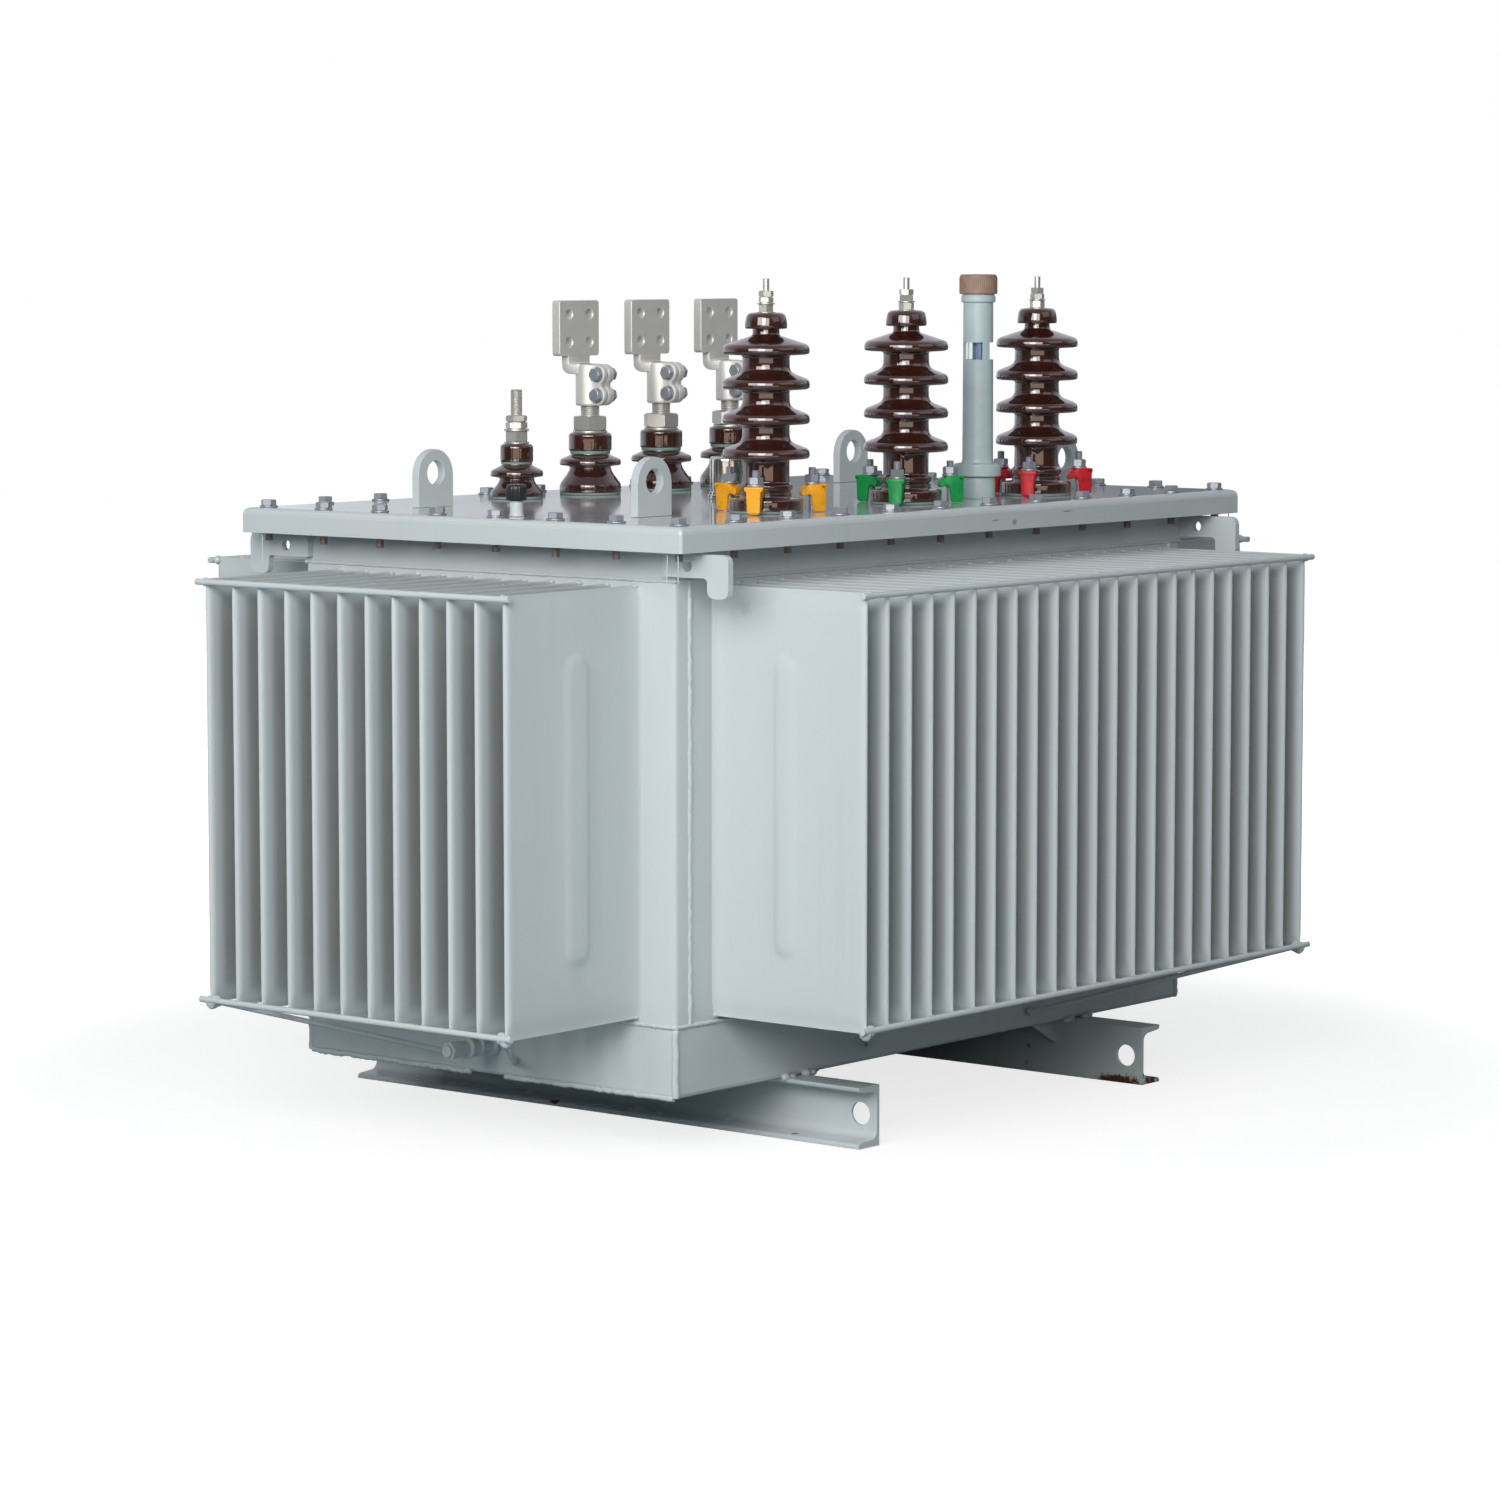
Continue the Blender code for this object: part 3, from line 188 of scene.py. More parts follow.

# %% [markdown]
# ## Shared effects as node groups
#
# Real finishes share their flaws: sprayed enamel has an orange-peel ripple, plates carry faint
# vertical run marks and dust, bare steel shows specks of rust, and drawn metal has a fine grain.
# Each flaw could be repeated in every material. A group with named sockets is better: it is built
# once, and each material sets its own strength. A group gives out masks and normals only. The last
# two are for painted shade, with some grime, between the fins, and for one ragged mark at a known
# place, such as a scratch.

# %% Group builder
def new_group(name, takes, gives):
    """A shader group with named float inputs and outputs of the given kinds."""
    tree = bpy.data.node_groups.new(name, "ShaderNodeTree")
    for label, start in takes.items():
        socket = tree.interface.new_socket(label, in_out="INPUT", socket_type="NodeSocketFloat")
        socket.default_value = start
    for label, kind in gives.items():
        tree.interface.new_socket(label, in_out="OUTPUT", socket_type=kind)
    inlet = tree.nodes.new("NodeGroupInput")
    outlet = tree.nodes.new("NodeGroupOutput")
    place = object_place(tree)
    return tree, inlet.outputs, outlet.inputs, place


def use_group(tree, group, **values):
    """Places a group in a material and sets its inputs by name."""
    node = add_node(tree, "ShaderNodeGroup", node_tree=group)
    for label, value in values.items():
        feed(tree, node.inputs[label.replace("_", " ")], value)
    return node.outputs


print("group builder ready")


# %% Sprayed ripple and run marks
def build_orange_peel():
    """The soft ripple of sprayed enamel, as a normal."""
    takes = {"Size": 260.0, "Depth": 0.00004, "Dents": 0.0}
    tree, taken, given, place = new_group("orange_peel", takes, {"Normal": "NodeSocketVector"})
    ripple = noise_at(tree, place, taken["Size"], 2.0, 0.4)
    sag = noise_at(tree, place, 9.0, 2.0, 0.5)
    height = maths(tree, "ADD", ripple, maths(tree, "MULTIPLY", sag, taken["Dents"]))
    bump = add_node(tree, "ShaderNodeBump")
    bump.inputs["Strength"].default_value = 1.0
    feed(tree, bump.inputs["Distance"], taken["Depth"])
    feed(tree, bump.inputs["Height"], height)
    feed(tree, given["Normal"], bump.outputs["Normal"])
    return tree


def build_run_marks():
    """Faint upright streaks where water ran down, from 0 to 1."""
    tree, taken, given, place = new_group("run_marks", {"Spread": 1.0}, {"Mask": "NodeSocketFloat"})
    stretch = add_node(tree, "ShaderNodeMapping")
    stretch.inputs["Scale"].default_value = (38.0, 38.0, 1.6)
    feed(tree, stretch.inputs["Vector"], place)
    thin = noise_at(tree, stretch.outputs["Vector"], 1.0, 4.0, 0.6)
    broad = noise_at(tree, place, 2.3, 2.0)
    mask = maths(tree, "MULTIPLY", between(tree, thin, 0.5, 0.75), between(tree, broad, 0.42, 0.62))
    feed(tree, given["Mask"], maths(tree, "MULTIPLY", mask, taken["Spread"], clamp=True))
    return tree


orange_peel = build_orange_peel()
run_marks = build_run_marks()
print("groups:", orange_peel.name, run_marks.name)


# %% Specks and metal grain
def build_specks():
    """Scattered small specks with ragged edges: rust, chips or casting pits."""
    takes = {"Size": 60.0, "Share": 0.12, "Patches": 4.0}
    tree, taken, given, place = new_group("specks", takes, {"Mask": "NodeSocketFloat"})
    wobble = add_node(tree, "ShaderNodeTexNoise")
    feed(tree, wobble.inputs["Vector"], place)
    feed(tree, wobble.inputs["Scale"], 190.0)
    shift = add_node(tree, "ShaderNodeVectorMath", operation="SCALE")
    shift.inputs["Scale"].default_value = 0.006
    feed(tree, shift.inputs[0], wobble.outputs["Color"])
    cells = add_node(tree, "ShaderNodeTexVoronoi")
    feed(tree, cells.inputs["Vector"], vector_maths(tree, "ADD", place, shift.outputs[0]))
    feed(tree, cells.inputs["Scale"], taken["Size"])
    fleck = maths(tree, "SUBTRACT", 1.0, between(tree, cells.outputs["Distance"], 0.08, 0.2))
    patch = noise_at(tree, place, taken["Patches"], 3.0, 0.6)
    low = maths(tree, "SUBTRACT", 1.0, taken["Share"])
    where = between(tree, patch, maths(tree, "MULTIPLY", low, 0.7), maths(tree, "MULTIPLY", low, 0.9))
    feed(tree, given["Mask"], maths(tree, "MULTIPLY", fleck, where, clamp=True))
    return tree


def build_metal_grain():
    """Fine lines along Z left by drawing or brushing, with slow cloudiness."""
    takes = {"Fineness": 900.0, "Depth": 0.00002}
    gives = {"Cloud": "NodeSocketFloat", "Normal": "NodeSocketVector"}
    tree, taken, given, place = new_group("metal_grain", takes, gives)
    stretch = add_node(tree, "ShaderNodeMapping")
    stretch.inputs["Scale"].default_value = (1.0, 1.0, 0.06)
    feed(tree, stretch.inputs["Vector"], place)
    lines = noise_at(tree, stretch.outputs["Vector"], taken["Fineness"], 2.0)
    bump = add_node(tree, "ShaderNodeBump")
    feed(tree, bump.inputs["Distance"], taken["Depth"])
    feed(tree, bump.inputs["Height"], lines)
    feed(tree, given["Cloud"], noise_at(tree, place, 45.0, 4.0, 0.6))
    feed(tree, given["Normal"], bump.outputs["Normal"])
    return tree


specks = build_specks()
metal_grain = build_metal_grain()
print("groups:", specks.name, metal_grain.name)


# %% Dust, gaps and single marks
def build_dust():
    """Dust on faces that look up, broken by noise."""
    tree, taken, given, place = new_group("dust", {"Amount": 0.3}, {"Mask": "NodeSocketFloat"})
    normal = add_node(tree, "ShaderNodeNewGeometry").outputs["Normal"]
    upward = between(tree, axis_of(tree, normal, "Z"), 0.6, 1.0)
    cloud = between(tree, noise_at(tree, place, 14.0, 5.0, 0.65), 0.4, 0.7)
    mask = maths(tree, "MULTIPLY", upward, maths(tree, "MULTIPLY", cloud, taken["Amount"]), clamp=True)
    feed(tree, given["Mask"], mask)
    return tree


def build_gap_shade():
    """Shade and grime between the fins, from the value named gap that the fin mesh carries."""
    tree, taken, given, place = new_group("gap_shade", {"Share": 0.6}, {"Mask": "NodeSocketFloat"})
    carried = add_node(tree, "ShaderNodeAttribute", attribute_name="gap").outputs["Fac"]
    cloud = maths(tree, "MULTIPLY_ADD", noise_at(tree, place, 6.0, 3.0), 0.4, 0.8)
    shade = maths(tree, "MULTIPLY", carried, cloud)
    feed(tree, given["Mask"], maths(tree, "MULTIPLY", shade, taken["Share"], clamp=True))
    return tree


def build_spot():
    """A ragged patch round one place of the object, from 0 outside to 1 inside."""
    takes = {"X": 0.0, "Y": 0.0, "Z": 0.0, "Radius": 0.02, "Height": 0.02, "Ragged": 0.5}
    tree, taken, given, place = new_group("spot", takes, {"Mask": "NodeSocketFloat"})
    centre = join_axes(tree, taken["X"], taken["Y"], taken["Z"])
    size = join_axes(tree, taken["Radius"], taken["Radius"], taken["Height"])
    away = vector_maths(tree, "DIVIDE", vector_maths(tree, "SUBTRACT", place, centre), size)
    torn = maths(tree, "SUBTRACT", noise_at(tree, place, 160.0, 5.0, 0.65), 0.5)
    torn = maths(tree, "MULTIPLY", maths(tree, "MULTIPLY", torn, taken["Ragged"]), 3.0)
    ragged = maths(tree, "ADD", vector_maths(tree, "LENGTH", away), torn)
    feed(tree, given["Mask"], maths(tree, "SUBTRACT", 1.0, between(tree, ragged, 0.55, 1.0)))
    return tree


dust = build_dust()
gap_shade = build_gap_shade()
spot = build_spot()
print("groups:", [group.name for group in bpy.data.node_groups])

# %% [markdown]
# ## Finishes
#
# The tank wears a glossy light grey enamel with a touch of blue-green, the porcelain has a deep
# brown glaze, and the metal parts are tinned, zinc plated or polished. Each finish is a Principled
# shader. Its constant values sit on its own sockets, and only what changes over the surface is
# linked, so that every value survives the export.

# %% Enamel
PAINT = (0.592, 0.630, 0.632, 1.0)
PAINT_COOL = (0.555, 0.602, 0.615, 1.0)
# Painted shade, with some grime, for the deep gaps between the fins.
GAP_SHADE_AND_GRIME = (0.130, 0.130, 0.120, 1.0)
DUST = (0.50, 0.49, 0.45, 1.0)
STAIN = (0.33, 0.33, 0.29, 1.0)
RUST = (0.10, 0.032, 0.016, 1.0)


def new_material(name, colour, roughness, metallic=0.0):
    material = bpy.data.materials.new(name)
    material.use_nodes = True
    tree = material.node_tree
    shader = tree.nodes["Principled BSDF"]
    shader.inputs["Base Color"].default_value = colour
    shader.inputs["Roughness"].default_value = roughness
    shader.inputs["Metallic"].default_value = metallic
    return material, tree, shader


def enamel(name, rust=0.05, gloss=0.16, peel=0.00003, dents=0.0, dusty=0.25, gaps=0.0, marks=()):
    """Sprayed enamel with run marks, dust, painted shade and grime in gaps, rust specks, and marks of
    (colour, place, size).
    """
    material, tree, shader = new_material(name, PAINT, gloss)
    place = object_place(tree)
    colour = blend_colours(tree, noise_at(tree, place, 1.7, 3.0), PAINT, PAINT_COOL)
    runs = use_group(tree, run_marks, Spread=0.10)["Mask"]
    colour = blend_colours(tree, runs, colour, STAIN)
    powder = use_group(tree, dust, Amount=dusty)["Mask"]
    colour = blend_colours(tree, powder, colour, DUST)
    # Painted shade, with some grime, where the fin mesh says a point lies deep in a gap.
    if gaps:
        colour = blend_colours(tree, use_group(tree, gap_shade, Share=gaps)["Mask"], colour, GAP_SHADE_AND_GRIME)
    rusty = use_group(tree, specks, Size=42.0, Share=rust, Patches=5.0)["Mask"]
    colour = blend_colours(tree, rusty, colour, RUST)
    for mark, (x, y, z), radius, height, ragged, share in marks:
        patch = use_group(tree, spot, X=x, Y=y, Z=z, Radius=radius, Height=height, Ragged=ragged)["Mask"]
        colour = blend_colours(tree, maths(tree, "MULTIPLY", patch, share), colour, mark)
    feed(tree, shader.inputs["Base Color"], colour)
    rough = maths(tree, "ADD", gloss, maths(tree, "MULTIPLY", powder, 0.35))
    rough = maths(tree, "ADD", rough, maths(tree, "MULTIPLY", rusty, 0.5), clamp=True)
    feed(tree, shader.inputs["Roughness"], rough)
    ripple = use_group(tree, orange_peel, Size=230.0, Depth=peel, Dents=dents)
    feed(tree, shader.inputs["Normal"], ripple["Normal"])
    return material


SCRATCH = (0.42, 0.16, 0.13, 1.0)
SMUDGE = (0.26, 0.22, 0.15, 1.0)
lid_marks = [
    (SCRATCH, (0.035, -0.380, 0.7905), 0.011, 0.0012, 0.30, 0.8),
    (SCRATCH, (0.078, -0.380, 0.7865), 0.006, 0.0050, 0.45, 0.7),
    (SCRATCH, (0.200, -0.380, 0.7960), 0.016, 0.0011, 0.30, 0.8),
]
fin_marks = [(SMUDGE, (-0.499, -0.372, 0.704), 0.019, 0.026, 0.20, 0.30)]
channel_marks = [
    (RUST, (0.319, -0.428, 0.004), 0.030, 0.014, 0.75, 1.0),
    (RUST, (0.298, -0.400, 0.002), 0.044, 0.011, 0.45, 1.0),
    # Rust lining both web holes; the same dark also stands in for the shade inside the holes.
    (RUST, (0.300, -0.415, 0.039), 0.0158, 0.0158, 0.06, 1.0),
    (RUST, (-0.300, -0.415, 0.039), 0.0158, 0.0158, 0.06, 1.0),
    (RUST, (-0.338, 0.080, 0.006), 0.010, 0.004, 0.6, 1.0),
    (RUST, (-0.330, -0.330, 0.007), 0.006, 0.004, 0.6, 0.9),
]
paint = enamel("enamel")
lid_paint = enamel("lid_enamel", gloss=0.07, peel=0.00002, dusty=0.06, marks=lid_marks)
fin_paint = enamel("fin_enamel", gloss=0.20, dents=3.0, gaps=0.50, marks=fin_marks)
rusty_paint = enamel("channel_enamel", rust=0.26, gloss=0.22, marks=channel_marks)
weld_paint = enamel("weld_enamel", rust=0.03, gloss=0.20, peel=0.00006, dusty=0.1)
rod_paint = enamel("rod_enamel", rust=0.16, gloss=0.20)
print("enamel finishes:", [m.name for m in bpy.data.materials if "enamel" in m.name])


# %% Porcelain, rubber and plastics
def glaze(name):
    """Deep brown glaze: nearly mirror smooth, with darker and redder clouds where it ran thick."""
    material, tree, shader = new_material(name, (0.03, 0.009, 0.006, 1.0), 0.04)
    place = object_place(tree)
    cloud = noise_at(tree, place, 30.0, 4.0, 0.6)
    thick = blend_colours(tree, cloud, (0.026, 0.007, 0.005, 1.0), (0.056, 0.015, 0.009, 1.0))
    spots = use_group(tree, specks, Size=170.0, Share=0.15, Patches=9.0)["Mask"]
    feed(tree, shader.inputs["Base Color"], blend_colours(tree, spots, thick, (0.012, 0.006, 0.005, 1.0)))
    feed(tree, shader.inputs["Roughness"], maths(tree, "ADD", 0.035, maths(tree, "MULTIPLY", cloud, 0.03)))
    shader.inputs["Coat Weight"].default_value = 1.0
    shader.inputs["Coat Roughness"].default_value = 0.02
    shader.inputs["IOR"].default_value = 1.68
    ripple = use_group(tree, orange_peel, Size=70.0, Depth=0.00006)
    feed(tree, shader.inputs["Normal"], ripple["Normal"])
    return material


def moulded(name, colour, roughness, dusty=0.25, peel=0.00003, mottle=0.72):
    """Moulded rubber or plastic with slight mottling and dust on top."""
    material, tree, shader = new_material(name, colour, roughness)
    place = object_place(tree)
    darker = tuple(mottle * channel for channel in colour[:3]) + (1.0,)
    cloud = between(tree, noise_at(tree, place, 60.0, 4.0, 0.6), 0.35, 0.8)
    body = blend_colours(tree, cloud, colour, darker)
    powder = use_group(tree, dust, Amount=dusty)["Mask"]
    feed(tree, shader.inputs["Base Color"], blend_colours(tree, powder, body, DUST))
    dull = maths(tree, "MULTIPLY", powder, 0.3)
    feed(tree, shader.inputs["Roughness"], maths(tree, "ADD", roughness, dull))
    ripple = use_group(tree, orange_peel, Size=420.0, Depth=peel)
    feed(tree, shader.inputs["Normal"], ripple["Normal"])
    return material


brown_glaze = glaze("brown_glaze")
grey_rubber = moulded("grey_rubber", (0.25, 0.34, 0.31, 1.0), 0.55)
yellow_coat = moulded("yellow_coat", (0.89, 0.39, 0.012, 1.0), 0.28, 0.08)
green_coat = moulded("green_coat", (0.005, 0.33, 0.075, 1.0), 0.28, 0.08)
red_coat = moulded("red_coat", (0.60, 0.012, 0.022, 1.0), 0.28, 0.08)
gauge_grey = moulded("gauge_grey", (0.51, 0.615, 0.63, 1.0), 0.30, 0.05, mottle=0.93)
tan_plastic = moulded("tan_plastic", (0.34, 0.215, 0.155, 1.0), 0.45, 0.2)
black_plastic = moulded("black_plastic", (0.018, 0.019, 0.021, 1.0), 0.30, 0.12)
float_blue = moulded("float_blue", (0.12, 0.26, 0.52, 1.0), 0.25, 0.0)
core_varnish = moulded("core_varnish", (0.32, 0.20, 0.11, 1.0), 0.6, 0.2)
print("moulded finishes ready")


# %% Metals
def metal(name, bright, dark, roughness, grain=700.0, depth=0.00002, spots=0.1, film=0.0):
    """Plated or drawn metal: cloudy between two tones, with grain, dull spots and a pale film of oxide."""
    material, tree, shader = new_material(name, bright, roughness, 1.0 - film)
    marks = use_group(tree, metal_grain, Fineness=grain, Depth=depth)
    pits = use_group(tree, specks, Size=120.0, Share=spots, Patches=20.0)["Mask"]
    colour = blend_colours(tree, marks["Cloud"], bright, dark)
    feed(tree, shader.inputs["Base Color"], blend_colours(tree, pits, colour, (0.16, 0.13, 0.10, 1.0)))
    rough = maths(tree, "ADD", roughness, maths(tree, "MULTIPLY", marks["Cloud"], 0.16))
    feed(tree, shader.inputs["Roughness"], maths(tree, "ADD", rough, maths(tree, "MULTIPLY", pits, 0.3)))
    feed(tree, shader.inputs["Normal"], marks["Normal"])
    return material


tinned = metal("tinned_copper", (0.70, 0.69, 0.65, 1.0), (0.52, 0.51, 0.47, 1.0), 0.32, film=0.25)
cast_tin = metal("cast_tinned", (0.88, 0.86, 0.81, 1.0), (0.72, 0.70, 0.65, 1.0), 0.42,
                 grain=240.0, depth=0.00010, film=0.45)
zinc = metal("zinc_plate", (0.47, 0.50, 0.55, 1.0), (0.31, 0.33, 0.37, 1.0), 0.34, film=0.35)
polished = metal("polished_steel", (0.78, 0.77, 0.75, 1.0), (0.66, 0.65, 0.62, 1.0), 0.07,
                 grain=1500.0, depth=0.000008)
oxide = metal("brown_oxide", (0.45, 0.41, 0.38, 1.0), (0.26, 0.21, 0.18, 1.0), 0.5,
              grain=300.0, depth=0.00006, spots=0.4)
print("metals:", [m.name for m in (tinned, cast_tin, zinc, polished, oxide)])

# %% [markdown]
# ## Small tools for shapes
#
# Most fittings are turned, cut from plate, or hexagonal. So the helpers below add turned bodies,
# plates and hexagons to one mesh, and several bodies of the same finish become one piece, the way
# a bolt, its washer and its nut are one set. Outlines are in millimetres, as on a drawing. Each
# corner of an outline says how soft it is, because no real edge is perfectly sharp.

# %% Outlines and lofts
def rounded(points, closed=False, steps=5):
    """An outline of (a, b, softness) corners. A soft corner becomes a curve that starts that far from it."""
    count = len(points)
    outline = []
    for i, (a, b, soft) in enumerate(points):
        corner = Vector((a, b))
        if soft == 0 or (not closed and i in (0, count - 1)):
            outline.append(corner)
            continue
        back = Vector(points[i - 1][:2]) - corner
        ahead = Vector(points[(i + 1) % count][:2]) - corner
        start = corner + back.normalized() * min(soft, back.length * 0.499)
        end = corner + ahead.normalized() * min(soft, ahead.length * 0.499)
        for step in range(steps + 1):
            t = step / steps
            outline.append(start * (1 - t) ** 2 + corner * 2 * t * (1 - t) + end * t * t)
    return outline


def add_loft(bm, rings):
    """Joins rings of equally many points into a closed body."""
    rows = [[bm.verts.new(point) for point in ring] for ring in rings]
    count = len(rows[0])
    for lower, upper in zip(rows, rows[1:]):
        for i in range(count):
            j = (i + 1) % count
            bm.faces.new((lower[i], lower[j], upper[j], upper[i]))
    bm.faces.new(rows[0][::-1])
    bm.faces.new(rows[-1])


print("outline helpers ready")

# %% [markdown]
# ## Turned bodies
#
# A porcelain, a washer or a cap is round about one axis, so its half section says it all. The
# section is a list of radius and height, and each of its points becomes a ring about the axis.

# %% Turned bodies
def add_turned(bm, outline, place, sides):
    """A body turned about Z: (radius, height) in millimetres from the bottom up, axis to axis."""
    rows = []
    for radius, height in outline:
        if radius < 1e-6:
            rows.append([bm.verts.new(place @ Vector((0.0, 0.0, height * MM)))])
            continue
        turns = [2 * math.pi * i / sides for i in range(sides)]
        ring = [Vector((radius * MM * math.cos(t), radius * MM * math.sin(t), height * MM)) for t in turns]
        rows.append([bm.verts.new(place @ point) for point in ring])
    for lower, upper in zip(rows, rows[1:]):
        if len(lower) == len(upper) == 1:
            continue
        for i in range(sides):
            j = (i + 1) % sides
            if len(lower) == 1:
                bm.faces.new((lower[0], upper[j], upper[i]))
            elif len(upper) == 1:
                bm.faces.new((lower[i], lower[j], upper[0]))
            else:
                bm.faces.new((lower[i], lower[j], upper[j], upper[i]))


def add_disc(bm, radius, low, high, place, sides, soft=0.4, top=None):
    """A washer or gasket between two heights, with soft rims and, where top is given, sloping sides."""
    corners = [(0, low, 0), (radius, low, soft), (radius if top is None else top, high, soft), (0, high, 0)]
    add_turned(bm, rounded(corners), place, sides)


print("turned bodies ready")

# %% [markdown]
# ## Hexagons and threads
#
# A cone turns off both ends of a real nut, so its corners end lower than its flats. A thread could
# be a true spiral, but at this scale a stack of ridges looks the same and is much lighter.

# %% Hexagons and threads
def add_hexagon(bm, across, low, high, place, turn=0.0):
    """A hexagonal nut or head between two heights. A cone turned off each end leaves the corners lower."""
    flat = across / 2
    face = flat * 0.95
    turns = [math.pi * i / 18 for i in range(36)]
    reach = [flat / math.cos((t + math.pi / 6) % (math.pi / 3) - math.pi / 6) for t in turns]

    def ring(radii, heights):
        points = []
        for t, radius, height in zip(turns, radii, heights):
            t += math.radians(turn)
            corner = Vector((radius * MM * math.cos(t), radius * MM * math.sin(t), height * MM))
            points.append(place @ corner)
        return points

    fall = [(radius - face) * 0.5 for radius in reach]
    rings = [ring([face] * 36, [low] * 36), ring(reach, [low + drop for drop in fall])]
    rings += [ring(reach, [high - drop for drop in fall]), ring([face] * 36, [high] * 36)]
    add_loft(bm, rings)


def add_thread(bm, radius, low, high, pitch, place, sides, tip=1.0):
    """A threaded stud: ridges stacked at the pitch, with a chamfered end."""
    depth = 0.3 * pitch
    outline = [(0.0, low), (radius - depth, low)]
    ridges = int((high - tip - low) / pitch)
    for i in range(ridges):
        start = low + i * pitch
        crest = [(radius, start + pitch * 0.4), (radius, start + pitch * 0.6)]
        outline += crest + [(radius - depth, start + pitch)]
    outline.extend([(radius, high - tip), (radius - tip, high), (0.0, high)])
    add_turned(bm, outline, place, sides)


print("hexagons and threads ready")

# %% [markdown]
# ## Plates and bars
#
# A cut or cast plate has a narrow soft edge, so its outline is lofted through four levels and is
# drawn in a little at the first and the last. A rod or a bead of weld is a round bar along points.

# %% Plates and bars
def add_plate(bm, outline, thickness, place, edge=0.6):
    """A flat outline in millimetres, in the X-Y plane of its place, with softened edges."""
    half = thickness / 2

    def ring(shrink, height):
        points = []
        for i, point in enumerate(outline):
            ahead = Vector(outline[(i + 1) % len(outline)]) - Vector(outline[i - 1])
            inward = Vector((-ahead.y, ahead.x)).normalized() * shrink
            corner = Vector(((point[0] + inward.x) * MM, (point[1] + inward.y) * MM, height * MM))
            points.append(place @ corner)
        return points

    add_loft(bm, [ring(edge, -half), ring(0.0, -half + edge), ring(0.0, half - edge), ring(edge, half)])


def add_bar(bm, points, radius, sides=12):
    """A nearly straight round bar or bead of weld along points, in metres, with one radius or one a point."""
    points = [Vector(point) for point in points]
    radii = radius if isinstance(radius, (list, tuple)) else [radius] * len(points)
    turn = (points[-1] - points[0]).to_track_quat("Z", "Y").to_matrix()
    turns = [2 * math.pi * k / sides for k in range(sides)]
    circle = [turn @ Vector((math.cos(t), math.sin(t), 0.0)) for t in turns]
    add_loft(bm, [[point + spoke * radius for spoke in circle] for point, radius in zip(points, radii)])


print("plates and bars ready")

# %% [markdown]
# ## Turning a mesh into a piece
#
# A piece needs five things: a name, a mesh with outward faces, a finish, the body that it rides
# on, and, where it is a finer version of a plain solid of the frame, the names of those solids.
# One function does all five, so no piece can miss one.

# %% Pieces
def add_piece(name, bm, finish, stands_for=(), sharp=32.0):
    bmesh.ops.recalc_face_normals(bm, faces=bm.faces)
    mesh = bpy.data.meshes.new(name)
    bm.to_mesh(mesh)
    bm.free()
    mesh.materials.append(finish)
    mesh.shade_smooth()
    mesh.set_sharp_from_angle(angle=math.radians(sharp))
    item = bpy.data.objects.new(name, mesh)
    bpy.context.scene.collection.objects.link(item)
    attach(item, "root")
    if stands_for:
        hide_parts(*stands_for)
    return item


def at(x, y, z, turn=0.0):
    return Matrix.Translation((x, y, z)) @ Matrix.Rotation(math.radians(turn), 4, "Z")


def centre_of(node):
    """Middle of a node's box seen from above, and the height of its underside."""
    low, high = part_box(node)
    return (low.x + high.x) / 2, (low.y + high.y) / 2, low.z


print("piece helper ready")

# %% [markdown]
# ## The finned walls
#
# Each wall is a folded sheet: the fins are hollow pockets, pinched flat and welded at the top and
# bottom, with a small round tip. A wall could be one plain box with stripes, but the light in the
# gaps shows the real form, so every fin is a closed ring of points that is swept upwards. The ring
# narrows near both ends, swells at the pressed bead at half height, and leans a little, because no
# press folds seventy fins quite alike. Each point also keeps a value named gap, which tells the
# enamel how deep the point lies between two fins. The enamel paints shade there, with some grime,
# and a thin painted dark line under each pinched end.

# %% One fin
FIN_LOW = 0.1796
FIN_HIGH = 0.7296
FIN_MIDDLE = (FIN_LOW + FIN_HIGH) / 2
FIN_HALF = 0.0048
FIN_PINCH = 0.0021
FIN_TIP = 0.0090
TAPER = 0.026
BEAD_REACH = 0.172
BEAD_SLOPE = 0.013
BEAD_HEIGHT = 0.0036


def smoothstep(t):
    t = min(max(t, 0.0), 1.0)
    return t * t * (3 - 2 * t)


def fin_heights():
    """Levels up a fin: close together where it narrows and along the bead's ends."""
    ends = [0.0, 0.0012, 0.0024, 0.0038, 0.0055, 0.008, 0.012, 0.017, 0.022, 0.026]
    low = [FIN_LOW + step for step in ends]
    high = [FIN_HIGH - step for step in reversed(ends)]
    reach = (0.199, 0.194, 0.189, 0.184, 0.178, 0.170, 0.08)
    below = [FIN_MIDDLE - step for step in reach]
    above = [FIN_MIDDLE + step for step in reversed(reach)]
    return low + below + [FIN_MIDDLE] + above + high


